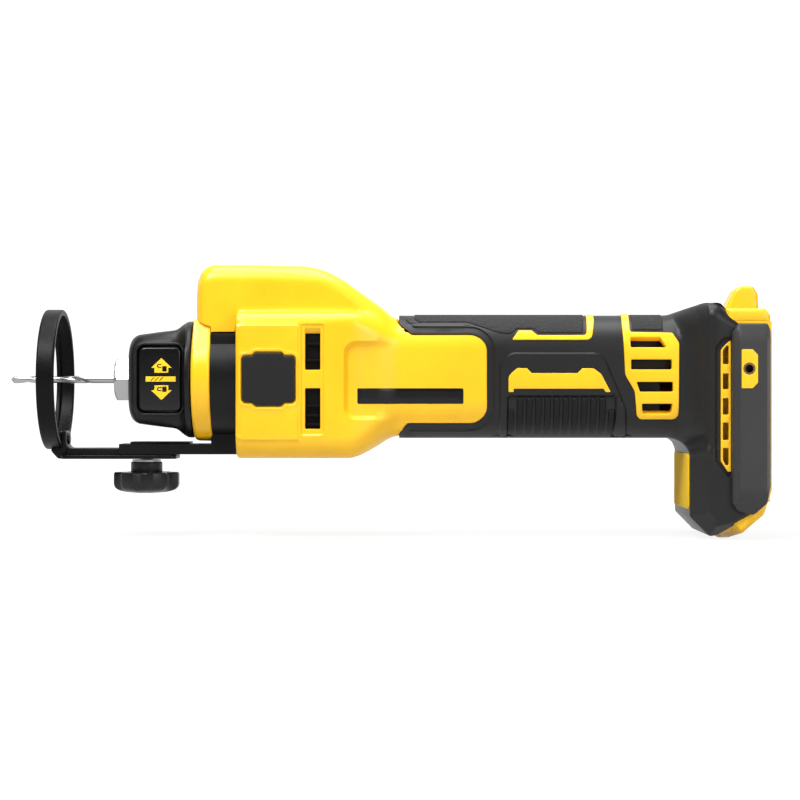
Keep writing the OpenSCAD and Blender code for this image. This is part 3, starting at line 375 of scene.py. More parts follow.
class Skin:
    """A surface over (x, a), where a is the length along the section from height zero, positive upwards. In front of
    the body a is carried on from the top, so that the hump runs through."""

    def __init__(self, section, x, centre, samples=420):
        y, z = ray_table(section, x, centre, np.linspace(-np.pi / 2, np.pi / 2, samples))
        run = np.concatenate([np.zeros((len(x), 1)), np.cumsum(np.hypot(np.diff(y), np.diff(z)), 1)], 1)
        even = np.linspace(0, 1, samples)
        self.y = np.array([np.interp(even, r / r[-1], v) for r, v in zip(run, y)])
        self.z = np.array([np.interp(even, r / r[-1], v) for r, v in zip(run, z)])
        zero = np.array([np.interp(0.0, v, even) for v in self.z])
        self.x, self.length = x, run[:, -1]
        high = (1 - zero) * self.length
        self.high = np.where(x < 0, high[x > 0][0], high)
        self.low = self.high - self.length

    def along(self, x, z):
        """The a of a point seen at height z from the side."""
        row = np.clip(np.searchsorted(self.x, x), 0, len(self.x) - 1)
        levels = self.z[row]
        k = np.clip((levels < np.asarray(z)[:, None]).sum(1), 1, levels.shape[1] - 1)
        pick = np.arange(len(row))
        t = (z - levels[pick, k - 1]) / np.maximum(levels[pick, k] - levels[pick, k - 1], 1e-9)
        return self.low[row] + (k - 1 + np.clip(t, 0, 1)) / (levels.shape[1] - 1) * self.length[row]

    def spot(self, x, a):
        """Point on the surface, blended between the four nearest samples."""
        i = np.clip(np.interp(x, self.x, np.arange(len(self.x))), 0, len(self.x) - 1.001)
        share = (a - np.interp(x, self.x, self.low)) / np.interp(x, self.x, self.length)
        q = np.clip(share, 0, 1) * (self.y.shape[1] - 1.001)
        r, c, u, v = i.astype(int), q.astype(int), i % 1, q % 1
        both = []
        for t in (self.y, self.z):
            near, far = (t[k, c] * (1 - v) + t[k, c + 1] * v for k in (r, r + 1))
            both.append(near * (1 - u) + far * u)
        return np.stack([x + 0 * a, *both], 1)

    def place(self, x, a, h):
        """Point at height h above the surface, along the normal from central differences."""
        d = 0.25
        fore = np.where(x > 0, np.maximum(x - d, 0.002), x - d)
        aft = np.where(x < 0, np.minimum(x + d, -0.002), x + d)
        across = self.spot(aft, a) - self.spot(fore, a)
        up = self.spot(x, a + d) - self.spot(x, a - d)
        normal = np.cross(across, up)
        normal /= np.maximum(np.linalg.norm(normal, axis=1), 1e-9)[:, None]
        return self.spot(x, a) + normal * np.asarray(h)[:, None]

    def mapped(self, loop):
        """An outline drawn in the side view carried onto (x, a)."""
        return np.stack([loop[:, 0], self.along(loop[:, 0], loop[:, 1])], 1)


BODY = Skin(housing_section, np.concatenate([
    -16.8 + np.linspace(0, 1, 17)[:-1] ** 2 * 6.8, np.arange(-10, -0.3, 0.5), [-0.002, 0.002],
    np.linspace(0.3, 1.6, 8)[1:-1] ** 2 / 1.6, np.arange(1.6, 108, 0.5)]), 0.0)

SIDE_PAD = rounded([(2.8, -9.6, 1.6), (7.0, -9.6, 1.2), (8.2, -11, 1.2), (18.8, -11, 1.2), (20.0, -9.6, 1.2),
                    (24.4, -9.6, 1.6), (24.4, 9.4, 1.6), (20.0, 9.4, 1.2), (18.8, 10.7, 1.2), (8.2, 10.7, 1.2),
                    (7.0, 9.4, 1.2), (2.8, 9.4, 1.6)], 0.8)
PAD_POCKET = turned(inset(turned(SIDE_PAD, 1), -0.55), 1)
VENT_FRAME = box_outline(26.6, 36.4, -23.2, 22.6, 1.2)
FLANK = box_outline(-8.0, 26.0, -25.2, 22.2, 0.8)
LABEL = rounded([(44.2, -16.8, 5), (125, -16.8, 2), (125, 15.6, 2), (44.2, 15.6, 5)], 1.0)
TONGUE = [(66.8, 22.9, 1.0), (71.9, 18.4, 1.5), (102.8, 18.4, 7.2), (102.8, -18.3, 6.8), (70.1, -18.3, 1.5),
          (66.8, -22.6, 1.0)]
tongue_loop = rounded([(40, 22.9), *TONGUE, (40, -22.6)], 1.0)
VENTS = [box_outline(28.5, 34.7, 3.7, 20.6, 0.4, 0.8), box_outline(28.5, 34.7, -20.4, -3.8, 0.4, 0.8)]


def housing_height(points):
    """Height over the plain skin: the raised flank with the pad pocket and its bead, the sunk vent frame and label, and
    a step down where the tongue goes under the soft grip."""
    x = points[:, 0]
    flat = np.stack([x, BODY.spot(x, points[:, 1])[:, 2]], 1)
    pocket = depth_in(flat, PAD_POCKET)
    h = -0.9 * ease(pocket / 0.4) + 0.25 * ease((pocket + 1.3) / 0.5) * ease(-pocket / 0.2)
    h = h - 0.7 * ease(depth_in(flat, VENT_FRAME) / 0.8)
    h = h + 0.4 * ease(depth_in(flat, FLANK) / 0.6) * ease((x - 0.4) / 1.5)
    h = h - 2.0 * ease((x - 66.9) / 0.5) * ease(-depth_in(flat, tongue_loop) / 0.8)
    return h - 2.0 * ease(depth_in(flat, LABEL) / 1.8) * (1 - ease((x - 50) / 17)) - 0.75 * ease((x - 58) / 9)


def ring_slope(x, base):
    """Height of the hump's lower edge over the front ring: base at the ring's back, rising to the front."""
    return base - 0.435 * (x + 10.6)


def straight(x, z):
    """A line of points (x, z), where either may be one value for all."""
    return np.stack(np.broadcast_arrays(np.asarray(x, float), z), 1)


def begun_at(loop, values):
    """A closed outline started at the point with the least of the values."""
    return np.roll(loop, -int(np.argmin(values)), 0)


def housing_outline():
    """The half shell over (x, a): bottom edge, tail under the grip, tongue, top edge with the slider's notch, the
    hump's front and lower edge, and the body's front edge."""
    tail, tip = 69.0, 104.6
    x = np.concatenate([[0.002], np.arange(1, tail + 0.1, 1.0)])
    low = straight(x, np.interp(x, BODY.x, BODY.low) + 0.04)
    back, front, deep = 30, 8, 8.0
    over = np.concatenate([np.arange(tail, back + 0.5, -1.0), [back, back, front, front],
                           np.arange(front - 1, 0.5, -1.0), np.arange(-1, -16.1, -1.0), [-16.8]])
    sunk = np.zeros(len(over))
    sunk[np.flatnonzero(over == back)[1]] = sunk[np.flatnonzero(over == front)[0]] = deep
    high = straight(over, np.interp(over, BODY.x, BODY.high) - 0.04 - sunk)
    seen = np.array([(tail, -19.8), (tip, -19.8), (tip, 19.9), (tail, 19.9)])
    over_ring = np.array([-16.8, -16.7, -16.5, -16.2, -15.8, -15.2, -14.4, -13.4, -12.0, -10.6])
    hump_low = 19.4
    nose = np.concatenate([straight(over_ring, ring_slope(over_ring, 21.6)), [(-10.6, hump_low), (-0.002, hump_low)]])
    corner = np.array([(0.002, hump_low)])
    return divide(np.concatenate([low, BODY.mapped(seen), high, BODY.mapped(nose), BODY.mapped(corner)]), 1.0)


def stretches(line, loop, holes=()):
    """Unbroken stretches of a line inside an outline and outside its holes, kept 0.35 and 0.9 mm clear of them."""
    ok = depth_in(line, loop) > 0.35
    for hole in holes:
        ok &= depth_in(line, hole) < -0.9
    runs = np.split(np.arange(len(line)), np.flatnonzero(np.diff(ok.astype(int))) + 1)
    return [line[r] for r in runs if ok[r[0]] and len(r) > 3]


pad_ring, vent_ring = turned(PAD_POCKET, 1), turned(VENT_FRAME, 1)
label_run, flank_run = turned(LABEL, 1), turned(FLANK, 1)
housing_folds = [BODY.mapped(v) for v in (inset(pad_ring, -1.3), inset(pad_ring, -0.8), pad_ring, inset(pad_ring, 0.4),
                                          vent_ring, inset(vent_ring, 0.8))]
for ring in (flank_run, inset(flank_run, 0.6)):
    ring = begun_at(ring, ring[:, 0])
    housing_folds.append(BODY.mapped(ring[ring[:, 0] > 2.2]))
for ring in (label_run, inset(label_run, 0.9), inset(label_run, 1.8)):
    ring = begun_at(ring, -ring[:, 0])
    housing_folds.append(BODY.mapped(ring[ring[:, 0] < 66]))
step_up = BODY.mapped(straight(-0.002, np.linspace(19.8, 29.5, 24)))[:, 1]
housing_folds += [straight(x, step_up) for x in (-0.002, 0.002, 0.15, 0.5, 1.0)]
tongue_run = begun_at(turned(tongue_loop, 1), tongue_loop[:, 0])
for ring in (tongue_run, inset(tongue_run, -0.8)):
    housing_folds += stretches(BODY.mapped(ring[ring[:, 0] > 67.5]), housing_outline())
BODY_BORES = [(-4.0, 36.5), (52.9, 26.0), (15.5, -27.4), (55.9, -9.0)]
slots = [BODY.mapped(v) for v in VENTS]
BORE_R, WALL = 3.1, -2.4
bores = [BODY.mapped(disc_outline(x, z, BORE_R, 28)) for x, z in BODY_BORES]
for side, drilled in (("left", []), ("right", bores)):
    lips = [0.3, 0.35, 0.35] + [0.25] * len(drilled)
    shell = panel(housing_outline(), slots + drilled, BODY.place, housing_height, WALL, lips, 1.5, housing_folds)
    put("motor_housing_" + side, *on_side(side, shell), YELLOW, stands_for=["housing_" + side], slot="yellow_plastic")


def flat_x(x0):
    """Place on the plane x = x0 seen from the front: s runs to the left side's -y, t up, height towards the front."""
    return lambda s, t, h: np.stack([x0 - h, -s, t + 0 * s], 1)


def flat_side(s, t, h):
    """Place in the side view: s is x, t is z and height runs out to the left."""
    return np.stack([s, -np.asarray(h) + 0 * s, t], 1)


def half_section(row):
    """The left half of a skin's section as (-y, z) from bottom to top."""
    return np.stack([-BODY.y[row], BODY.z[row]], 1)


front_row = int(np.flatnonzero(BODY.x > 0)[0])
edge_line = half_section(front_row)
edge_line = edge_line[edge_line[:, 1] < 25.2][::6]
bore = np.linspace(np.pi / 2 * 0.93, -np.pi / 2, 40)
front_wall = np.concatenate([[(0.05, edge_line[0, 1])], edge_line, 25.1 * straight(np.cos(bore), np.sin(bore))])
front_plate = panel(divide(front_wall, 1.5), [], flat_x(0.3), 0.2, -2.0, 0.15, 3.0)
both_sides("body_front_wall", *front_plate, YELLOW, slot="yellow_plastic")

nose_line = half_section(0)
nose_line = nose_line[nose_line[:, 1] > 24.3][::4]
RING_ROOM = 26.1  # radius that the hump leaves free for the front ring
arc = np.linspace(3, 9.4, 6)
nose_face = np.concatenate([[(0.05, RING_ROOM)], straight(arc, np.sqrt(RING_ROOM ** 2 - arc ** 2)), nose_line])
notch = np.linspace(np.pi / 2, -np.pi / 2, 16)
lens_seat = straight(4.3 * np.cos(notch) + 0.05, 36 + 4.3 * np.sin(notch))
nose_plate = panel(divide(np.concatenate([nose_face, lens_seat]), 1.0), [], flat_x(-16.8), 0.0, WALL, 0.12, 2.0)
both_sides("hump_front", *nose_plate, YELLOW, slot="yellow_plastic")


def grid_mesh(points, wrap=False, close=False):
    """Quads of a grid of points (rows, columns, 3); columns close up if wrap, rows if close."""
    rows, cols = points.shape[:2]
    index = np.arange(rows * cols).reshape(rows, cols)
    if wrap:
        index = np.concatenate([index, index[:, :1]], 1)
    if close:
        index = np.concatenate([index, index[:1]])
    quads = np.stack([index[:-1, :-1], index[:-1, 1:], index[1:, 1:], index[1:, :-1]], 2)
    return points.reshape(-1, 3), [quads.reshape(-1, 4)]


def hump_arch():
    """Underside of the hump: a shelf behind the front ring, and over the ring a slope and an arch that clear it."""
    side, x = np.meshgrid(np.linspace(-1, 1, 61), np.array([-16.6, -15.8, -14.6, -13.0, -10.7, -10.5, -6.0, 0.2]))
    y = side * (18.6 - nose_taper(x))
    arch = np.sqrt(np.maximum(RING_ROOM ** 2 - y ** 2, 0))
    z = np.maximum(np.where(x < -10.6, ring_slope(x, 21.7), 19.6), arch)
    return grid_mesh(np.stack([x, y, z], 2))


put("hump_underside", *hump_arch(), YELLOW, slot="yellow_plastic")

# Slider bed: the dark tray in the hump's top in which the power slider runs, one moulding under both halves.
# Its rim and floor are plain black nylon.

NYLON = skin("black_nylon", (0.006, 0.006, 0.0065), 0.42, bump=0.08, fine=2200.0, specular=0.25)


def flat_top(s, t, h):
    """Place seen from above: s is x, t is y and height is z."""
    return np.stack([s, t + 0 * s, np.asarray(h) + 0 * s], 1)


well = box_outline(8.1, 29.9, -7.9, 7.9, 0.8)
tray = panel(box_outline(7.2, 30.8, -8.8, 8.8, 1.0), [well], flat_top, 45.4, 42.4, 0.1, 3.0)
put("slider_tray", *tray, NYLON, slot="black_plastic")
tray_floor = panel(box_outline(7.8, 30.2, -8.2, 8.2, 0.8), [], flat_top, 42.95, 42.0, 0.1, 3.0)
put("slider_floor", *tray_floor, NYLON, slot="black_plastic")

# Soft grip: thermoplastic rubber moulded over the handle and the foot, one shell on each half.
# Its side is a pillow over the side view: flat flank, round top and bottom edges, a flare into the foot.

SOFT = dict(bump=0.2, fine=1900.0, coarse=60.0, spread=0.1)  # the grain of the moulded rubbers
RUBBER = skin("black_rubber", (0.013, 0.013, 0.0135), 0.4, specular=0.26, **SOFT)
GRIP = rounded([(66.8, -24.4, 0.4), (185.7, -24.4, 7.5), (185.7, -56.3, 2.0), (193.8, -64.4, 1.5),
                (197.0, -63.4, 2.0), (201.7, -60.2, 3.0), (210.4, -55.0, 0.6), (211.0, 20.0, 1.0), (204.6, 23.3, 0.6),
                (197.4, 31.0, 3.0), (191.0, 31.0, 6.0), (183.6, 28.5, 8.0), (178.0, 26.6, 8.0), (66.8, 26.6, 0.4),
                *TONGUE], 1.0)
TOP_EDGE = np.array([(50, 26.6, 16), (175, 26.6, 16), (179, 27.0, 14), (183.6, 28.6, 10.5), (187.3, 30.0, 7.5),
                     (191, 30.8, 6.2), (194, 31.0, 6), (196.3, 30.6, 6), (198.2, 29.7, 6), (200.2, 27.9, 6),
                     (204.6, 23.3, 4), (211.0, 20.0, 1)])
LOW_EDGE = np.array([(50, -24.4, 16, 6.8), (178.2, -24.4, 16, 6.8), (181.1, -25.0, 15, 6.8), (183.5, -26.6, 13, 6.8),
                     (185.1, -29.0, 11, 6.8), (185.7, -31.9, 9, 6.8), (185.7, -56.3, 8, 6.8), (193.8, -64.3, 6, 6),
                     (197, -63.4, 4, 4), (201.7, -60.2, 4, 2), (210.6, -54.8, 4, 1.5)])
CONTOUR = rounded([(108.2, -40), (162, -40), (159.5, -12, 6), (150.0, 10.6, 6), (112.2, 10.6, 5), (108.2, 5.5, 5)], 1.0)
STRIP_RECESS = rounded([(194.6, -33.5, 2), (200.0, -40.2, 2), (206, -40.2), (206, 17.3), (198.4, 17.3, 3.5),
                        (194.6, 13.0, 3.5)], 1.0)


def edge_drop(p, edge):
    """How far a rounded edge falls back from the flank: a quarter round whose radius varies along the edge."""
    far, spot = nearest(p, edge[:, :2], False)
    r = np.interp(spot, np.arange(len(edge)), edge[:, 2])
    return r - np.sqrt(np.maximum(r ** 2 - np.maximum(r - far, 0) ** 2, 0)), far, spot


def grip_flank(p):
    """Half width of the grip: 23 on the handle with round edges, flaring to 33 at a ridge on the foot; below the handle
    the foot's front and bottom are flat chamfers that end at the same ridge."""
    x, z = p.T
    fall, far, spot = edge_drop(p, LOW_EDGE)
    flare = 23.0 + 9.4 * np.clip((x - 181) / 11.5, 0, 1) ** 1.6 + 0.6 * ease((x - 192.5) / 2.5)
    wide = np.interp(spot, np.arange(len(LOW_EDGE)), LOW_EDGE[:, 3])
    chamfered = 33.0 - 1.4 * np.maximum(wide - far, 0)
    below = ease((-22 - z) / 10)
    return (flare - fall) * (1 - below) + chamfered * below - edge_drop(p, TOP_EDGE)[0]


def grip_height(p):
    """The flank with its moulded steps: a low band round the label, a raised field for the ribs, the strip's recess."""
    x, z = p.T
    near_label, _ = nearest(p, tongue_loop)
    h = grip_flank(p) - 0.8 * (1 - ease((near_label - 2.6) / 0.8)) * (x > 60)
    h = h + 1.1 * ease((depth_in(p, CONTOUR) + 0.4) / 0.8)
    h = h - 1.2 * ease((x - 110.9) / 0.8) * ease((155.9 - x) / 0.8) * ease((-6.6 - z) / 0.8)
    h = h - 1.5 * ease(depth_in(p, STRIP_RECESS) / 1.2)
    for x0, high in ((112.4, -19.5), (158.2, -19.5)):
        h = h - 0.9 * ease((0.9 - np.abs(x - x0)) / 0.35) * (z < high)
    return h - 0.8 * ease((0.8 - np.abs(x - 72.2)) / 0.35) * (z > 22.5)


def grip_under(p):
    """Inside of the shell: 3 mm behind the flank, and down to the middle plane along the round edges."""
    far = np.minimum(edge_drop(p, TOP_EDGE)[1], edge_drop(p, LOW_EDGE)[1])
    return 0.05 + (grip_flank(p) - 3.05) * ease((far - 2) / 6)


def edge_line_at(edge, distance):
    """The line inside an edge at a distance given at each of its points, without the loops that it makes at corners."""
    dense = np.linspace(0, len(edge) - 1, 260)
    x, z, away = (np.interp(dense, np.arange(len(edge)), v) for v in (edge[:, 0], edge[:, 1], distance))
    line = np.stack([x, z], 1)
    run = np.gradient(line, axis=0)
    run /= np.hypot(*run.T)[:, None]
    way = 1 if edge is LOW_EDGE else -1
    moved = line + way * np.stack([-run[:, 1], run[:, 0]], 1) * away[:, None]
    return moved[nearest(moved, edge[:, :2], False)[0] > away - 0.12]


def edge_rings(edge):
    """Lines inside a rounded edge at even turns of its quarter round, so that the mesh follows the curve."""
    return [edge_line_at(edge, edge[:, 2] * (1 - math.cos(t))) for t in np.linspace(0.3, np.pi / 2, 8)]


def joined(*meshes):
    """Several meshes as one: their points in a row and their faces counted on."""
    starts = np.cumsum([0] + [len(p) for p, _ in meshes])
    faces = [np.asarray(f) + s for (_, faces), s in zip(meshes, starts) for f in faces]
    return np.concatenate([p for p, _ in meshes]), faces


GRILLE_HOLE = rounded([(160.3, 17.9, 1), (160.6, 2.2, 3), (164.4, -4.6, 2), (165.4, -15.0, 2), (180.2, -15.0, 2),
                       (180.3, 14.4, 2), (178.4, 17.7, 1)], 1.0)
FOOT_SLOTS = [box_outline(198.1, 200.4, a, b, 0.3, 0.8) for a, b in ((-4.2, 2.1), (-14.5, -7.9), (-24.8, -17.8))]
FOOT_SLOTS.append(rounded([(198.1, 5.9, 0.3), (200.4, 5.9, 0.3), (200.4, 13.4, 0.3), (199.7, 13.4, 0.3),
                           (198.1, 11.7, 0.5)], 0.5))
FOOT_SLOTS.append(rounded([(198.1, -28.1, 0.3), (198.1, -33.0, 0.5), (199.2, -35.0, 0.3), (200.4, -35.0, 0.3),
                           (200.4, -28.1, 0.3)], 0.5))
grip_lines = [r for e in (TOP_EDGE, LOW_EDGE) for r in edge_rings(e)]
ridge = edge_line_at(LOW_EDGE, LOW_EDGE[:, 3])
grip_lines.append(ridge[ridge[:, 1] < -26])
contour_run, recess_run = turned(CONTOUR, 1), turned(STRIP_RECESS, 1)
for ring in (inset(contour_run, -0.4), inset(contour_run, 0.4), recess_run, inset(recess_run, 1.2)):
    grip_lines.append(begun_at(ring, ring[:, 1]))
grip_lines += [straight(np.arange(112.5, 154.5, 0.8), z) for z in (-6.6, -7.4)]
grip_lines += [straight(x, np.linspace(-23.6, -8.2, 20)) for x in (110.9, 111.7, 155.1, 155.9)]
grip_lines += [inset(tongue_run, -away) for away in (2.6, 3.4)]
GRIP_BORES = [(105.9, 17.6), (105.9, -15.4), (151.5, 17.6), (151.5, -15.4), (192.2, 21.0), (192.2, -50.0)]
openings = [GRILLE_HOLE, *FOOT_SLOTS]
for side, holes in (("left", openings), ("right", openings + [disc_outline(x, z, BORE_R, 24) for x, z in GRIP_BORES])):
    folds = [s for line in grip_lines for s in stretches(line, GRIP, holes)]
    grip = panel(GRIP, holes, flat_side, grip_height, grip_under, [0.35] + [0.3] * len(holes), 1.7, folds)
    put("soft_grip_" + side, *on_side(side, grip), RUBBER, stands_for=["grip_" + side], slot="black_rubber")


def bore_lining(x, z, y):
    """A tube along y from the screw's seat at 8 mm to just under the skin, wall 1 mm."""
    turn, seat, outer = round_angles(28), 8.1, BORE_R + 1.0
    r, depth = np.array([[BORE_R, outer, outer, BORE_R], [y, y, seat, seat]])[:, :, None]
    return grid_mesh(np.stack([x + r * np.cos(turn), depth + 0 * turn, z + r * np.sin(turn)], 2), True, True)


lining_ends = (16.0, 20.7, 22.0, 20.0, 18.0, 18.0, 18.0, 18.0, 22.0, 24.0)
linings = [bore_lining(x, z, y) for (x, z), y in zip(BODY_BORES + GRIP_BORES, lining_ends)]
put("screw_bore_linings", *joined(*linings), YELLOW, slot="yellow_plastic")

# Vent screens: black nylon baffles clipped behind the slots, with slats across, and the slots' moulded ramps.
# Their near-black is partly their own black and partly painted shade for the dark inside of the motor, so only black
# shows behind the yellow frame.

screen = [panel(BODY.mapped(box_outline(27.4, 35.8, -21.4, 21.6, 1.0)), [], BODY.place, -3.0, -3.9, 0.1, 3.0)]
for z in (14.3, 7.6, -10.9, -14.9, -18.6):
    slat = box_outline(28.2, 35.0, z - 0.4, z + 0.4, 0.2, 0.6)
    screen.append(panel(BODY.mapped(slat), [], BODY.place, -1.0, -3.2, 0.2, 2.0))
# Darker than the black nylon: painted shade for the dark inside behind the vents.
SCREEN = skin("vent_shade_black", (0.003, 0.003, 0.003), 0.6, bump=0.1, specular=0.12)
both_sides("vent_screen", *joined(*screen), SCREEN, slot="black_plastic")


def ramp_top(z0):
    """A slope that rises 1.6 mm over the 2 mm above z0."""
    return lambda p: -2.4 + 0.8 * np.clip(BODY.spot(p[:, 0], p[:, 1])[:, 2] - z0, 0, 2)


ramp_edge = BODY.mapped(box_outline(28.3, 34.9, 18.6, 20.8, 0.1, 0.6))
ramp = panel(ramp_edge, [], BODY.place, ramp_top(18.6), -3.0, 0.05, 0.8)
both_sides("vent_ramp", *ramp, YELLOW, slot="yellow_plastic")

# Side pads: black rubber bumpers pressed into a pocket on each motor flank, with rounded rims.
# They stand a little proud, so that the tool can lie on its side.

PAD_RUBBER = skin("bumper_rubber", (0.009, 0.009, 0.0095), 0.55, bump=0.3, fine=1500.0, coarse=70.0, spread=0.1,
                  specular=0.28)
bumper = panel(BODY.mapped(SIDE_PAD), [], BODY.place, 0.95, -0.9, 0.7, 2.0)
both_sides("side_pad", *bumper, PAD_RUBBER, stands_for=["side_pad"], slot="black_plastic")

# Label strip: the thin glossy black film on the yellow tongue. It is bare.

FILM = skin("black_film", (0.005, 0.005, 0.0055), 0.22, bump=0.02, fine=900.0, specular=0.3)
for side, x in (("left", 50.2), ("right", 60.5)):
    strip = panel(BODY.mapped(box_outline(x, 93.2, -10.2, -3.8, 0.5)), [], BODY.place,
                  lambda p: housing_height(p) + 0.12, lambda p: housing_height(p) - 0.4, 0.06, 2.0)
    put("label_strip_" + side, *on_side(side, strip), FILM, slot="black_plastic")

# Handle inlays: where the yellow core shows through the soft grip, as the stripe, the vent grille and the bare badge.
# They are laid on the handle's round section, a little above the rubber.

HANDLE_R = 16  # corner radius of the handle's section
FLANK_LOW, FLANK_HIGH = -8.4, 10.6  # ends of its flat flank
HANDLE_LOW, HANDLE_HIGH = -24.4, 26.6  # its bottom and top
QUARTER = HANDLE_R / 2 * np.pi  # length of a corner


def handle_along(z):
    """Length round the handle's section from height zero: flat flank, quarter rounds, flat top and bottom."""
    turn = np.arcsin(np.clip((z - FLANK_HIGH) / HANDLE_R, 0, 1)) - np.arcsin(np.clip((FLANK_LOW - z) / HANDLE_R, 0, 1))
    over = np.maximum(z - HANDLE_HIGH, 0) - np.maximum(HANDLE_LOW - z, 0)
    return np.clip(z, FLANK_LOW, FLANK_HIGH) + HANDLE_R * turn + over


def handle_place(x, a, h):
    """The point at length a round the handle's section and height h over it; the inverse of handle_along."""
    half_pi = np.pi / 2
    turn = np.clip((a - FLANK_HIGH) / HANDLE_R, 0, half_pi) - np.clip((FLANK_LOW - a) / HANDLE_R, 0, half_pi)
    over = np.maximum(a - FLANK_HIGH - QUARTER, 0) + np.maximum(FLANK_LOW - a - QUARTER, 0)
    y = -7 - HANDLE_R * np.cos(turn) + over
    z = np.clip(a, FLANK_LOW, FLANK_HIGH) + (HANDLE_R + h) * np.sin(turn)
    return np.stack([x, y - h * np.cos(turn), z], 1)


def on_handle(corners, step=0.7):
    """An outline of the side view carried onto the handle; heights past its top go on over the flat."""
    loop = rounded(corners, step)
    return divide(np.stack([loop[:, 0], handle_along(loop[:, 1])], 1), step)


OVER = 33.5  # a height on the flat top, just short of the middle plane
stripe = panel(on_handle([(113.1, 16.0, 0.3), (145.8, 16.0, 2.6), (147.2, 24.0, 3.0), (147.6, OVER), (144.8, OVER),
                          (143.7, 17.9, 1.4), (123.6, 17.9, 0.5), (121.2, 19.8, 0.5), (115.8, 19.8, 0.5)]), [],
               handle_place, 0.45, -1.5, 0.25, 1.4)
both_sides("grip_stripe", *stripe, YELLOW, slot="yellow_plastic")
SLOTS = [[(161.6, 16.9, 0.5), (173.8, 16.9, 0.5), (176.4, 12.9, 0.4), (161.6, 12.9, 0.5)],
         [(161.8, 8.0, 0.5), (178.5, 8.0, 0.5), (178.5, 3.9, 0.5), (161.8, 3.9, 0.5)],
         [(164.0, -1.2, 0.4), (179.0, -1.2, 0.5), (179.0, -5.2, 0.5), (165.4, -5.2, 0.5)],
         [(166.2, -10.1, 0.5), (178.8, -10.1, 0.5), (178.2, -14.2, 1.3), (166.6, -14.2, 1.3)]]
grille = panel(on_handle([(159.4, OVER), (158.4, 22.0, 9.0), (159.4, 1.6, 5.0), (163.3, -5.0, 4.0),
                          (164.3, -16.3, 2.5), (181.3, -16.3, 2.6), (181.5, 14.7, 2.0), (179.1, 18.8, 1.5),
                          (161.6, 19.1, 0.8), (161.9, OVER)]), [on_handle(s, 0.8) for s in SLOTS], handle_place, 0.75,
               -3.2, 0.4, 1.4)
both_sides("grip_grille", *grille, YELLOW, slot="yellow_plastic")
badge = panel(on_handle([(111.6, -5.4, 0.3), (111.6, 1.2, 2.5), (115.0, 4.4, 1.5), (119.1, 4.4, 0.5),
                         (121.1, 2.4, 0.5), (139.8, 2.4, 0.5), (141.8, 4.4, 0.5), (146.3, 4.4, 3.0),
                         (149.5, 2.0, 2.0), (153.4, -5.4, 0.3), (151.3, -5.4, 0.2), (150.4, -4.0, 0.3),
                         (113.7, -4.0, 0.3), (113.7, -5.4, 0.2)]), [], handle_place, 1.45, -0.6, 0.25, 1.4)
both_sides("grip_badge", *badge, YELLOW, slot="yellow_plastic")
core_rib = panel(box_outline(168.8, 184.0, -20.5, 22.0, 1.0), [], flat_side, 1.0, 0.05, 0.2, 3.0)
# The rib's dark brownish yellow is painted shade: the core's yellow as it looks in shadow deep behind the grille.
SHADED = skin("painted_shade_yellow", (0.20, 0.085, 0.004), 0.5, specular=0.1)
both_sides("handle_rib", *core_rib, SHADED, slot="yellow_plastic")
# Black sheets behind the grille: partly the black end of the electronics, partly painted shade for the dark inside of
# the handle.
baffle = panel(box_outline(160.2, 180.6, 2.2, 9.6, 0.6), [], flat_side, 18.4, 16.4, 0.3, 3.0)
cheek = panel(box_outline(160.2, 174.4, -16.4, 18.8, 0.6), [], flat_side, 16.2, 15.4, 0.2, 3.0)
both_sides("grille_shade_sheet", *joined(baffle, cheek), NYLON, slot="black_plastic")

# Grip fields: the sanded rubber panels over the handle's back and the finger ribs under it, part of the soft grip.
# The panels have a coarse leather grain; the ribs are half round, in a darker copy of the grip's rubber as painted
# shade between them.

SANDED = skin("sanded_rubber", (0.012, 0.012, 0.0125), 0.66, bump=0.85, fine=820.0, coarse=60.0, spread=0.08,
              specular=0.32, depth=0.0006)
# A darker copy of the grip's rubber: painted shade for the ribs, which sit in each other's shadow.
RIB_SHADE_RUBBER = skin("rib_rubber_painted_shade", (0.006, 0.006, 0.0065), 0.5, specular=0.2, **SOFT)
BACK_FIELD = [(73.2, OVER), (73.2, 25.0, 0.6), (75.0, 23.4, 1.0), (95.0, 23.4, 10.0), (107.5, 19.0, 8.0),
              (112.6, 18.5, 1.0), (115.4, 20.7, 0.8), (121.9, 20.7, 0.8), (124.5, 18.9, 0.8), (142.3, 18.9, 1.2),
              (143.9, OVER)]
RIGHT_FIELD = BACK_FIELD[:3] + [(95.0, 23.4, 4.0), (101.0, 22.0, 3.0), (112.6, 22.0, 2.0)] + BACK_FIELD[6:]
REAR_FIELD = [(162.7, OVER), (162.6, 20.1, 0.6), (175.2, 20.1, 0.6), (176.2, OVER)]


def rib_top(p):
    """Height of a finger rib over the handle: level with the raised field on the flank, flush with the bottom below."""
    return 1.0 - 0.95 * ease((-12 - p[:, 1]) / 16)


for side, field, count in (("left", BACK_FIELD, 12), ("right", RIGHT_FIELD, 10)):
    fields = joined(*[panel(on_handle(f), [], handle_place, 0.35, -1.0, 0.35, 1.6) for f in (field, REAR_FIELD)])
    ribs = []
    for k in range(count):
        x, top_end = 112.65 + 3.75 * k, handle_along(np.array(-12.5 if k in (0, 11) else -7.6))
        left, right, bottom = x - 1.3, x + 1.3, -33.2
        edge = rounded([(left, bottom, 0.3), (right, bottom, 0.3), (right, top_end, 1.1), (left, top_end, 1.1)], 0.8)
        ribs.append(panel(edge, [], handle_place, rib_top, -1.6, 0.7, 1.2))
    put("grip_field_" + side, *on_side(side, fields), SANDED, slot="black_rubber")
    put("finger_ribs_" + side, *on_side(side, joined(*ribs)), RIB_SHADE_RUBBER, slot="black_rubber")

# Foot core: the yellow end of the housing that carries the battery rails, the stop tab above them and the
# vent strip in the soft grip. It is moulded in one with the housing halves.

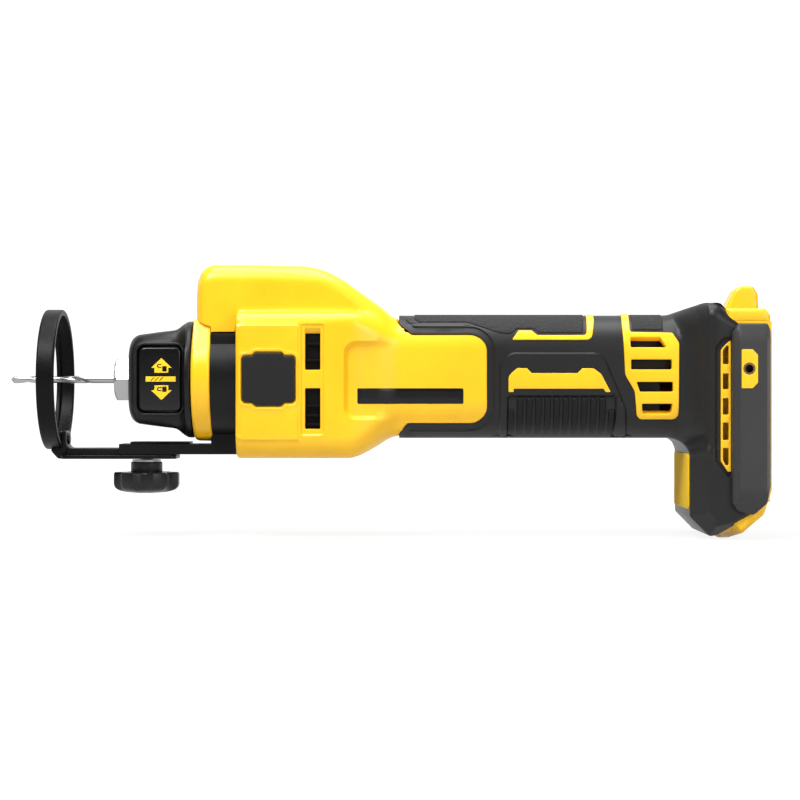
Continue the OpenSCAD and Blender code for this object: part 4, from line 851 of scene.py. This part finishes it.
BOTTOM_EDGE = np.array([(190, -58, 2.5), (195, -63.2, 2.5), (198, -65, 2.5), (202, -65, 2.5), (206.5, -62.6, 2.5),
                        (215.2, -55.2, 2.5), (218, -46, 1.5)])


def core_top(p):
    """The core's flank: sunk behind the vent strip, and along the bottom a plane that goes on from the grip's chamfer,
    1.3 mm under it, and fades out towards the rail wall."""
    _, spot = nearest(p, LOW_EDGE[:, :2], False)
    wide = np.interp(spot, np.arange(len(LOW_EDGE)), LOW_EDGE[:, 3])
    x, z = p.T
    drop = 1.4 * np.maximum(wide - depth_in(p, GRIP), 0)
    chamfered = 31.7 - drop + 12 * ease((x - 201) / 8) + 40 * ease((z + 54) / 6)
    sunk = 31.4 - 6.0 * ease((202.2 - x) / 0.8) * (z > -40) * (z < 16)
    return np.minimum(sunk, chamfered) - edge_drop(p, BOTTOM_EDGE)[0]


core = panel(rounded([(198.4, -57.0), (194.4, -61.8), (194.6, -63.6, 0.5), (198.0, -65.0, 3), (202.0, -65.0, 3),
                      (206.5, -62.6, 1), (207.5, -61.7), (207.5, 24.0), (198.4, 24.0)], 1.0), [], flat_side,
             lambda p: core_top(p) - 0.05, 0.05, 0.1, 1.0)
side_wall = panel(rounded([(206.5, 23.4), (218.0, 23.4, 0.5), (218.0, -46.0, 4.0), (215.2, -55.2, 4.0),
                           (207.2, -62.0, 0.5), (206.5, -62.6)], 1.0), [], flat_side, core_top, 26.0, 0.3, 1.2)
top_block = panel(rounded([(199.4, 28.6, 1), (215.6, 28.6, 2.5), (217.6, 26.0, 1.0), (217.6, 22.4, 0.3),
                           (200.0, 22.4)], 0.8), [], flat_side, 31.5, 0.05, 1.7, 2.0)
tab = panel(rounded([(202.9, 27.6), (203.1, 29.7), (204.3, 32.5, 1.0), (207.0, 37.6, 2.5), (209.8, 39.1, 2.5),
                     (214.7, 38.9, 1.5), (216.5, 35.8, 1.5), (217.0, 27.6)], 0.8), [], flat_side, 7.0, 0.05, 1.6, 1.5)
rail = panel(rounded([(214.1, -28.8), (217.6, -28.8), (217.6, -25.9, 0.5), (214.1, -25.9, 0.4)], 0.8), [], flat_top,
             23.0, -50.0, 0.2, 2.0)
both_sides("foot_core", *joined(core, side_wall, top_block, tab, rail), YELLOW, slot="yellow_plastic")
vent_strip = panel(rounded([(197.2, -33.4, 1.0), (200.0, -37.7, 0.6), (201.4, -37.7), (201.4, 15.4),
                            (200.3, 15.1, 1.5), (197.2, 11.8, 2.5)], 0.5), FOOT_SLOTS, flat_side, 32.1, 29.0, 0.3, 1.2)
both_sides("foot_vent_strip", *vent_strip, YELLOW, slot="yellow_plastic")
plate = panel(box_outline(-22.5, 22.5, -53.4, -30.6, 2.0, 1.5), [], flat_x(185.7), 0.5, -0.5, 0.25, 3.0)
PAPER = skin("label_film", (1.0, 0.62, 0.012), 0.6, bump=0.03, specular=0.05)
put("foot_label", *plate, PAPER, slot="yellow_plastic")

# Rail covers: rubber-faced blocks over the battery rails, bevelled all round, each with a yellow badge.
# The badge carries the threaded insert for a hook and is otherwise bare.

COVER = rounded([(201.5, -50.3, 1.0), (203.6, -53.6, 1.5), (210.3, -55.2, 2.0), (215.3, -50.6, 3.0),
                 (217.2, -43.5, 3.0), (217.2, 19.5, 1.5), (215.5, 22.4, 1.0), (204.0, 22.4, 1.0), (201.6, 18.6, 1.0)],
                1.0)
FACE_FRONT, FACE_BACK, FACE_LOW, FACE_HIGH = 204.3, 215.0, -45.4, 16.8  # edges of the flat face
creases = [straight(x, np.linspace(-44.0, 15.4, 58)) for x in (FACE_FRONT, FACE_BACK)]
creases += [straight(np.linspace(205.2, 214.0, 10), z) for z in (FACE_LOW, FACE_HIGH)]
hook_bore = disc_outline(207.8, 4.0, 2.45, 28)


def cover_top(p):
    """A flat face at 38 with a bevel along the front, a steeper one along the back and slight ones at both ends."""
    x, z = p.T
    long_sides = 1.8 * np.maximum(x - FACE_BACK, 0) + 0.95 * np.maximum(FACE_FRONT - x, 0)
    return 38 - np.maximum(long_sides, 0.4 * np.maximum(np.maximum(z - FACE_HIGH, FACE_LOW - z), 0))


cover = panel(COVER, [hook_bore], flat_side, cover_top, 31.4, [0.8, 0.1], 2.0, creases)
COVER_FACE = skin("cover_rubber", (0.04, 0.04, 0.041), 0.45, specular=0.24, **SOFT)
both_sides("rail_cover", *cover, COVER_FACE, stands_for=["rail_cover"], slot="black_rubber")
hook = panel(rounded([(204.7, 11.8, 0.4), (204.7, -3.9, 0.4), (209.1, -3.9, 0.4), (211.3, -1.7, 0.4),
                      (211.3, 9.6, 0.4), (209.1, 11.8, 0.4)], 0.8), [hook_bore], flat_side, 38.3, 36.6, 0.25, 1.4)
put("hook_badge_pair", *joined(hook, mirrored(*hook)), YELLOW, stands_for=["hook_badges"], slot="yellow_plastic")

# Front ring: the yellow nose ring that closes the motor housing, turned smooth with rounded edges.
# On each side a flat shoulder leaves it on a tangent and runs up under the hump's nose.


def about_axis(x, r, turn):
    """Points at x, radius r and an angle about the spindle axis."""
    return np.stack(np.broadcast_arrays(x, r * np.cos(turn), r * np.sin(turn)), 2)


def lathe(profile, count):
    """A closed profile (x, r), turned round the spindle axis."""
    x, r = turned(profile, 1).T
    return grid_mesh(about_axis(x, r, round_angles(count)[:, None]), True, True)


def leaning(half):
    """A flat that stands at half from the middle plane at z = 12 and leans in above it, along the ring's tangent."""
    return lambda p: half - 0.5255 * (p[:, 1] - 12.0)


ring = lathe(rounded([(-18.5, 22.2, 0.3), (-10.7, 22.2, 0.3), (-10.7, 25.8, 0.9), (-18.5, 25.6, 1.6)], 0.6), 120)
shoulder_edge = rounded([(-17.9, 12.0), (-10.8, 12.0), (-10.8, 22.0, 0.3), (-16.6, 24.7, 0.6), (-17.9, 24.7, 0.8)], 0.8)
shoulder = panel(shoulder_edge, [], flat_side, leaning(22.74), leaning(19.0), 0.35, 1.5)
put("nose_ring", *joined(ring, shoulder, mirrored(*shoulder)), YELLOW, stands_for=["front_ring"], slot="yellow_plastic")

# Twist collar: the black nylon nose sleeve that locks and frees the bit. A rounded square at the front, it flares
# into a round flange, and each flank carries a glossy finger pad in a raised frame.


def rounded_square(wide, high, r, per=14):
    """A closed curve in (y, z): quarter arcs of radius r about the corners of a box, joined by its sides."""
    turn = (np.linspace(0, np.pi / 2, per)[None] + np.arange(4)[:, None] * np.pi / 2).ravel()
    quarter = np.repeat(np.arange(4), per) * np.pi / 2 + np.pi / 4
    centre = np.sign(np.stack([np.cos(quarter), np.sin(quarter)], 1)) * (wide - r, high - r)
    return centre + r * np.stack([np.cos(turn), np.sin(turn)], 1)


def loft(stations):
    """Rounded boxes (x, half width, half height, corner radius) one behind another, closed into a ring."""
    rows = [np.insert(rounded_square(w, h, r), 0, x, axis=1) for x, w, h, r in stations]
    return grid_mesh(np.stack(rows), True, True)


COLLAR_NYLON = skin("collar_nylon", (0.005, 0.005, 0.0055), 0.38, bump=0.12, fine=2400.0, specular=0.24)
sleeve = loft([(-30.0, 11.1, 11.1, 11.0), (-44.8, 11.1, 11.1, 11.0), (-45.3, 11.6, 11.6, 11.4),
               (-45.3, 13.2, 13.2, 8.0), (-45.1, 14.4, 14.4, 8.0), (-44.5, 15.6, 15.8, 8.0), (-43.6, 16.6, 17.0, 8.0),
               (-42.4, 17.4, 17.9, 8.0), (-41.0, 17.9, 18.5, 8.0), (-38.0, 18.3, 18.9, 8.0), (-32.0, 18.6, 19.7, 8.0),
               (-26.9, 18.8, 20.3, 8.2), (-25.7, 18.8, 20.6, 9.0), (-24.7, 18.8, 21.3, 11.0),
               (-23.7, 18.9, 22.5, 14.5), (-22.6, 19.0, 23.7, 18.6), (-22.0, 19.6, 24.0, 19.4),
               (-21.7, 21.6, 24.2, 21.4), (-21.3, 23.8, 24.3, 23.6), (-21.0, 24.3, 24.35, 24.2),
               (-19.4, 24.4, 24.4, 24.3), (-19.0, 24.2, 24.2, 24.1), (-18.9, 23.6, 23.6, 23.5),
               (-18.9, 11.8, 11.8, 11.7), (-19.3, 11.1, 11.1, 11.0)])
pad_room = box_outline(-40.8, -22.1, -13.9, 13.9, 3.0)
pad_frame = panel(box_outline(-42.2, -21.5, -15.2, 15.2, 4.0), [pad_room], flat_side, 20.15, 16.5, 0.8, 2.0)
put("twist_collar", *joined(sleeve, pad_frame, mirrored(*pad_frame)), COLLAR_NYLON, body="collar",
    stands_for=["lock_collar"], slot="black_plastic")


def crown(base):
    """The finger pad's crown: a cosine across its height, 0.25 over the base in the middle."""
    return lambda p: base + 0.25 * np.cos(p[:, 1] / 13.2 * 1.4)


GLOSS = skin("gloss_pad", (0.006, 0.006, 0.0065), 0.18, bump=0.02, fine=900.0, coarse=90.0, spread=0.08, specular=0.32)
finger_pad = panel(box_outline(-40.0, -22.8, -13.1, 13.1, 2.4), [], flat_side, crown(20.35), 18.0, 0.9, 1.6)
both_sides("collar_pad", *finger_pad, GLOSS, stands_for=["collar_pad"], body="collar", slot="black_rubber")

# Lock signs: printed pictograms on the finger pads, an open padlock in an up arrow, a bit, and a shut padlock
# in a down arrow. They are thin yellow ink.

INK = skin("yellow_ink", (0.95, 0.62, 0.02), 0.3, bump=0.02, fine=900.0)


def printed(outline, holes):
    """A thin sign on the finger pad's crown, from just over it to just under it."""
    return panel(outline, holes, flat_side, crown(20.42), crown(20.22), 0.02, 0.8)


def arrow(up):
    """A broad arrow with a padlock on its side cut out of it: body, then hasp, which stands open on the up arrow."""
    flip, lift = (1.0, 1.25) if up else (-1.0, 0.0)
    house = rounded([(-35.0, 4.6), (-30.75, 8.6), (-26.5, 4.6), (-27.9, 4.6), (-27.9, 2.6), (-33.6, 2.6),
                     (-33.6, 4.6)], 0.6)
    body = box_outline(-30.4, -28.6, 3.1, 5.3, 0.2, 0.4)
    hasp = rounded([(-30.7, 5.0), (-32.6, 5.0, 0.85), (-32.6, 3.3, 0.85), (-30.7, 3.3), (-30.7, 3.75),
                    (-32.1, 3.75, 0.4), (-32.1, 4.55, 0.4), (-30.7, 4.55)], 0.3) + (0, lift)
    return printed(house * (1, flip), [body * (1, flip), hasp * (1, flip)])


def bit_sign():
    """A bar for the bit with three slanting flutes cut out of it."""
    bar = box_outline(-37.2, -24.9, -1.05, 1.05, 0.1, 0.6)
    flutes = [rounded([(x, -0.7), (x + 0.5, -0.7), (x + 2.0, 0.7), (x + 1.5, 0.7)], 0.4) for x in (-35.4, -33.6, -31.8)]
    return printed(bar, flutes)


both_sides("lock_sign", *joined(arrow(True), bit_sign(), arrow(False)), INK, body="collar", slot="yellow_plastic")

# Collet nut and cutting bit: ground steel. The nut is a hexagon with a turned front chamfer; the bit has a plain
# shank and two flutes that wind back from a chisel point.


def steel_group():
    """Shader group of machined steel: rings round the spindle axis in, roughness and height out."""
    group, n, link, given, out = new_group("turned_lines", {"Pitch": 4000.0, "Rough": 0.2})
    where, part, along, lines, tone, rough = (n.new("ShaderNode" + k) for k in (
        "TexCoord", "SeparateXYZ", "Math", "TexNoise", "MapRange", "Math"))
    along.operation, rough.operation = "MULTIPLY", "MULTIPLY_ADD"
    lines.noise_dimensions = "1D"
    dial(lines, {"Scale": 1.0, "Detail": 2.0})
    dial(tone, {"To Min": 0.88, "To Max": 1.08})
    rough.inputs[1].default_value = 0.16
    for start, end in ((where.outputs["Object"], part.inputs[0]), (part.outputs["X"], along.inputs[0]),
                       (given.outputs["Pitch"], along.inputs[1]), (along.outputs[0], lines.inputs["W"]),
                       (lines.outputs["Fac"], tone.inputs["Value"]), (tone.outputs["Result"], out.inputs["Tone"]),
                       (lines.outputs["Fac"], rough.inputs[0]), (given.outputs["Rough"], rough.inputs[2]),
                       (rough.outputs[0], out.inputs["Roughness"]), (lines.outputs["Fac"], out.inputs["Height"])):
        link(start, end)
    return group


TURNED = steel_group()


def metal(name, colour, rough, pitch=4000.0, bump=0.05):
    """A turned metal finish: the turned lines vary its tone and roughness and feed the bump."""
    finish = skin(name, colour, rough, metallic=1.0)
    n, link = finish.node_tree.nodes, finish.node_tree.links.new
    group = next(k for k in n if k.type == "GROUP")
    group.node_tree = TURNED
    dial(group, {"Pitch": pitch, "Rough": rough})
    tint = next(k for k in n if k.type == "MIX")
    raised = next(k for k in n if k.type == "BUMP")
    dial(raised, {"Strength": bump, "Distance": 0.00005})
    link(group.outputs["Tone"], tint.inputs["B"])
    link(group.outputs["Roughness"], n["Principled BSDF"].inputs["Roughness"])
    link(group.outputs["Height"], raised.inputs["Height"])
    return finish


STEEL = metal("ground_steel", (0.42, 0.42, 0.42), 0.24)


def hexagon_nut():
    """Hexagon r = 8.75 / cos of the angle from the nearest flat, cut by a cone at the front; bored for the bit."""
    turn = round_angles(96)
    hexagon = 8.75 / np.cos(np.mod(turn, np.pi / 3) - np.pi / 6)
    x = np.array([-48.0, -51.9, -52.1, -52.1, -52.0, -51.8, -51.5, -51.2, -50.9, -50.6, -50.2, -49.5, -41.4, -41.3,
                  -41.3])
    cone = np.array([1.9, 1.9, 2.1, 7.6, 7.9, 8.25, 8.75, 9.25, 9.75, 10.2, 11, 11, 11, 8.7, 6.0])
    r = np.minimum(cone[:, None], hexagon[None])
    return grid_mesh(about_axis(x[:, None], r, turn), True, True)


put("collet_nut_body", *hexagon_nut(), STEEL, body="spindle", stands_for=["collet_nut"], slot="bright_steel", crease=25)


def fluted_bit():
    """Radius 1.5875 less two flutes cos squared across the angle, which wind once in 28 mm and run out at the shank."""
    count, tip, shank_r = 40, 96.1, 1.5875
    turn = round_angles(count)
    x = np.concatenate([[-tip], np.linspace(-96.05, -94.9, 8), np.linspace(-94.7, -60, 170),
                        np.linspace(-59, -34.2, 8), [-34.1]])[:, None]
    depth = 0.7 * ease((-62.0 - x) / 4.0)
    winding = np.cos(turn[None] - (x + tip) * 2 * np.pi / 28.0) ** 2
    r = shank_r - depth * np.clip((winding - 0.35) / 0.65, 0, 1) ** 1.2
    point = np.clip((x + tip) / 1.2, 0, 1)
    r = np.minimum(r, 0.12 + 1.47 * point) * np.where(x > -34.15, 0.85, 1)
    points, faces = grid_mesh(about_axis(x, r, turn), True)
    ends = np.arange(count)[None]
    return points, faces + [ends[:, ::-1], ends + count * (len(x) - 1)]


put("spiral_bit", *fluted_bit(), STEEL, body="bit", stands_for=["cutting_bit"], slot="bright_steel", crease=40)

# Guide bracket and bar: the strap's ends and the bar that slides in its channel, bent steel with black powder coat.
# The bar turns up at its front end, where a blackened rivet holds the depth ring, and is slotted for the knob's stud.

POWDER = skin("powder_black", (0.004, 0.004, 0.0045), 0.4, bump=0.3, fine=2100.0, coarse=160.0, spread=0.2,
              specular=0.2)
lug = panel(box_outline(-10.5, -0.4, 13.9, 18.8, 0.5), [], flat_side,
            lambda p: 20.2 - 1.2 * np.maximum(p[:, 1] - 18.2, 0), 14.6, 0.3, 1.2)
both_sides("strap_lug", *lug, POWDER, slot="black_metal")
stud_slot = box_outline(-62.1, -31.3, -2.9, 2.9, 2.8)
flange = panel(box_outline(-74.0, -26.0, -10.0, 10.0, 2.5), [stud_slot], flat_top, -31.5, -33.1, [0.4, 0.1], 2.5)
tongue = panel(box_outline(-72.0, -26.0, -7.9, 7.9, 2.0), [stud_slot], flat_top, -28.7, -31.6, [0.4, 0.1], 2.5)
bend = panel(rounded([(-67.0, -33.1), (-75.6, -33.1, 1.5), (-78.6, -29.8, 1.5), (-78.2, -28.4, 0.8),
                      (-74.1, -28.0, 1.0), (-74.1, -21.4, 0.8), (-72.2, -21.4, 0.8), (-72.2, -28.2, 2.5),
                      (-67.0, -29.4)], 0.7), [], flat_side, 6.0, 0.03, 0.5, 1.2)
put("slide_bar", *joined(flange, tongue, bend, mirrored(*bend)), POWDER, body="guide", stands_for=["guide_bar"],
    slot="black_metal")
ZINC = metal("zinc_plate", (0.42, 0.43, 0.44), 0.32, 2600.0)
BLACK_ZINC = metal("black_zinc", (0.03, 0.03, 0.032), 0.34, 2600.0)
head = panel(disc_outline(0.0, -24.8, 2.3, 32), [], lambda s, t, h: np.stack([-72.3 + h, s, t + 0 * s], 1),
             1.1, -1.8, 0.6, 0.7)
put("ring_rivet", *head, BLACK_ZINC, body="guide", stands_for=["guide_rivet"], slot="zinc_steel")

# Depth guide ring and clamp knob: glass-filled black nylon, satin, with rounded rims. The ring is riveted to the
# guide bar through a boss; the knob has six lobes, a domed underside and a hub.

FILLED = dict(bump=0.3, fine=1300.0, coarse=120.0, spread=0.2)  # the grain of glass-filled nylon
RING_NYLON = skin("ring_nylon", (0.003, 0.003, 0.0032), 0.4, specular=0.12, **FILLED)
SATIN = skin("satin_nylon", (0.012, 0.012, 0.0125), 0.32, specular=0.26, **FILLED)
hoop = lathe(rounded([(-81.1, 25.2, 0.5), (-79.3, 25.2, 0.5), (-79.1, 26.8, 0.3), (-73.8, 26.8, 0.6),
                      (-73.8, 29.3, 0.8), (-81.1, 29.3, 0.9)], 0.5), 144)
boss_edge = rounded([(-78.0, -28.6, 0.5), (-74.2, -28.6, 0.5), (-74.2, -21.5, 1.2), (-78.0, -21.5, 1.2)], 0.6)
boss = panel(boss_edge, [], flat_side, 5.9, 0.03, 1.0, 1.5)
put("depth_ring", *joined(hoop, boss, mirrored(*boss)), RING_NYLON, body="guide", stands_for=["guide_ring"],
    slot="black_plastic")


def lobed_knob():
    """Radius 13.7 less valleys that are arcs of 5 about points at 16.3, scaled over a profile with rounded rims."""
    count, stud_x, valley_r = 180, -39.2, 5
    turn = round_angles(count)
    off = np.mod(turn, np.pi / 3) - np.pi / 6
    across = 16.3 * np.sin(off)
    valley = 16.3 * np.cos(off) - np.sqrt(np.maximum(valley_r ** 2 - across ** 2, 0))
    valley = np.where(np.abs(across) < valley_r, valley, 20.0)
    rim = soft_min(np.full_like(turn, 13.7), valley, 1.6)

    def rows(r, z):
        """Rings of points about the stud at heights z."""
        z = np.array(z)[:, None] + 0 * turn
        return grid_mesh(np.stack([stud_x + r * np.cos(turn), r * np.sin(turn), z], 2), True)

    share = np.array([0.03, 0.35, 0.62, 0.8, 0.9, 0.955, 0.985, 1.0, 1.0, 1.0, 0.993, 0.975, 0.95, 0.86, 0.5, 0.48])
    points, faces = rows(share[:, None] * rim, [-47.6, -47.5, -47.15, -46.6, -46.0, -45.3, -44.6, -43.8,
                                                -42.0, -39.7, -39.2, -38.95, -38.84, -38.8, -38.8, -38.7])
    hub = rows(np.array([6.5, 6.6, 6.6, 6.3, 3.2])[:, None], [-38.9, -38.6, -34.9, -34.55, -34.5])
    return joined((points, faces + [np.arange(count)[None, ::-1]]), hub)


put("clamp_knob", *lobed_knob(), SATIN, body="knob", stands_for=["knob"], slot="black_plastic")

# Power slider: a black nylon button in the hump's tray, ridged across for the thumb.

FRONT, RIDGE = 13.7, 2.6  # the button's front end and the pitch of its ridges


def ridges(p):
    """Half waves across the button, 0.6 mm high."""
    return 46.2 + 0.6 * np.abs(np.sin(np.pi * (p[:, 0] - FRONT) / RIDGE))


slider = panel(box_outline(FRONT, 29.3, -7.5, 7.5, 1.2, 0.5), [], flat_top, ridges, 43.35, 0.5, 0.45)
put("power_slider", *slider, NYLON, body="slider", stands_for=["switch_slider"], slot="black_plastic")

# Carried-over pieces: the bracket, fasteners, motor, electronics and wiring keep their solids, and each takes
# the finish of its material.

FINISHES = {
    "black_metal": POWDER,
    "bright_steel": STEEL,
    "zinc_steel": ZINC,
    "aluminium": metal("extruded_aluminium", (0.72, 0.73, 0.74), 0.34, 3200.0),
    "laminated_steel": metal("lamination_stack", (0.30, 0.30, 0.32), 0.36, 12000.0, 0.4),
    "magnet": metal("nickelled_magnet", (0.42, 0.42, 0.44), 0.28, 1800.0),
    "copper_wire": metal("copper_wire", (0.72, 0.30, 0.12), 0.3, 9000.0, 0.5),
    "brass_contact": metal("brass_contact", (0.80, 0.55, 0.20), 0.24, 2500.0),
    "white_plastic": skin("white_nylon", (0.72, 0.71, 0.68), 0.45, bump=0.06),
    "board_green": skin("green_board", (0.015, 0.09, 0.035), 0.32, bump=0.1, fine=700.0, coarse=300.0),
    "red_sleeve": skin("red_silicone", (0.45, 0.012, 0.01), 0.5, bump=0.1),
    "black_sleeve": skin("black_silicone", (0.02, 0.02, 0.02), 0.5, bump=0.1),
    "white_sleeve": skin("white_silicone", (0.7, 0.69, 0.66), 0.5, bump=0.1),
    "yellow_plastic": YELLOW, "black_rubber": RUBBER, "black_plastic": NYLON,
}
clear = skin("clear_lens", (0.92, 0.95, 0.97), 0.08, bump=0.02)
clear.node_tree.nodes["Principled BSDF"].inputs["Transmission Weight"].default_value = 0.85
FINISHES["clear_lens"] = clear
SLOT_OF = {s["node"]: s["material_slot"] for s in frame["record"]["subparts"]}
for name, piece in frame["nodes"].items():
    for k in range(len(piece.material_slots)):
        piece.material_slots[k].material = FINISHES[SLOT_OF[name]]
# The hook inserts' brass is darkened as painted shade for the bore they sit in.
frame["nodes"]["hook_inserts"].material_slots[0].material = metal("brass_in_painted_shade", (0.20, 0.13, 0.07), 0.4, 2500.0)

# Stage: a pale floor that runs up into a backdrop, three soft studio lamps and the camera at the photograph's level
# view, 0.9 m away with a long lens. The floor is white to the camera, and less so round the object, where it keeps
# the shadow.


def stage_sheet():
    """Floor and backdrop as one sheet: a flat run, a quarter turn of 0.5 m and a wall, carried across x."""
    turn = np.linspace(0, np.pi / 2, 13)
    y = np.concatenate([[-12.0, -1.0], 1.2 + 0.5 * np.sin(turn), [1.7]])
    z = np.concatenate([[0, 0], 0.5 - 0.5 * np.cos(turn), [3.0]]) - 0.0005
    x = np.array([-8.0, 8.0])
    points = np.stack([np.repeat(x[:, None], len(y), 1), np.tile(y, (2, 1)), np.tile(z, (2, 1))], 2).reshape(-1, 3)
    k = np.arange(len(y) - 1)
    mesh = bpy.data.meshes.new("studio_floor")
    mesh.from_pydata(points.tolist(), [], np.stack([k, k + len(y), k + len(y) + 1, k + 1], 1).tolist())
    mesh.shade_smooth()
    return mesh


floor = bpy.data.objects.new("studio_floor", stage_sheet())
bpy.context.scene.collection.objects.link(floor)
pale = bpy.data.materials.new("studio_white")
pale.use_nodes = True
nodes, link = pale.node_tree.nodes, pale.node_tree.links.new
shader = nodes["Principled BSDF"]
glow, rays, either, every, where, away, near, share, mixed = (nodes.new("ShaderNode" + k) for k in (
    "Emission", "LightPath", "Math", "Math", "TexCoord", "VectorMath", "MapRange", "Math", "MixShader"))
dial(shader, {"Base Color": (0.45, 0.45, 0.45, 1), "Roughness": 0.9})
dial(glow, {"Color": (1, 1, 1, 1), "Strength": 1.18})
dial(near, {"From Min": 0.3, "From Max": 0.9, "To Min": 0.75, "To Max": 0.95})
either.operation = every.operation = "MAXIMUM"
away.operation, share.operation = "LENGTH", "MULTIPLY"
for start, end in ((where.outputs["Object"], away.inputs[0]), (away.outputs["Value"], near.inputs["Value"]),
                   (rays.outputs["Is Camera Ray"], either.inputs[0]), (rays.outputs["Is Glossy Ray"], either.inputs[1]),
                   (either.outputs[0], every.inputs[0]), (rays.outputs["Is Transmission Ray"], every.inputs[1]),
                   (every.outputs[0], share.inputs[0]), (near.outputs["Result"], share.inputs[1]),
                   (share.outputs[0], mixed.inputs[0]), (shader.outputs[0], mixed.inputs[1]),
                   (glow.outputs[0], mixed.inputs[2]), (mixed.outputs[0], nodes["Material Output"].inputs["Surface"])):
    link(start, end)
floor.data.materials.append(pale)


def lamp(name, place, aim, size, power):
    """A square soft box at a place, turned to its aim."""
    light = bpy.data.lights.new(name, "AREA")
    light.size, light.energy = size, power
    holder = bpy.data.objects.new(name, light)
    holder.location = place
    holder.rotation_euler = (Vector(aim) - Vector(place)).to_track_quat("-Z", "Y").to_euler()
    bpy.context.scene.collection.objects.link(holder)


lamp("key_box", (-0.45, -0.7, 1.0), (0, 0, 0.06), 0.5, 15.5)
lamp("top_box", (0.05, 0.0, 1.0), (0, 0, 0.06), 0.7, 11.0)
lamp("fill_box", (0.65, -0.85, 0.4), (0.1, 0, 0.06), 0.6, 4.5)
world = bpy.data.worlds.new("studio")
bpy.context.scene.world = world
world.use_nodes = True
dial(world.node_tree.nodes["Background"], {"Color": (1, 1, 1, 1), "Strength": 0.09})

lens = bpy.data.cameras.new("camera")
lens.lens, lens.sensor_width = 96.4, 36.0
camera = bpy.data.objects.new("camera", lens)
camera.location = (0.0067, -0.900, 0.0564)
camera.rotation_euler = (math.pi / 2, 0, 0)
bpy.context.scene.collection.objects.link(camera)
bpy.context.scene.camera = camera
bpy.context.scene.view_settings.view_transform = "Standard"
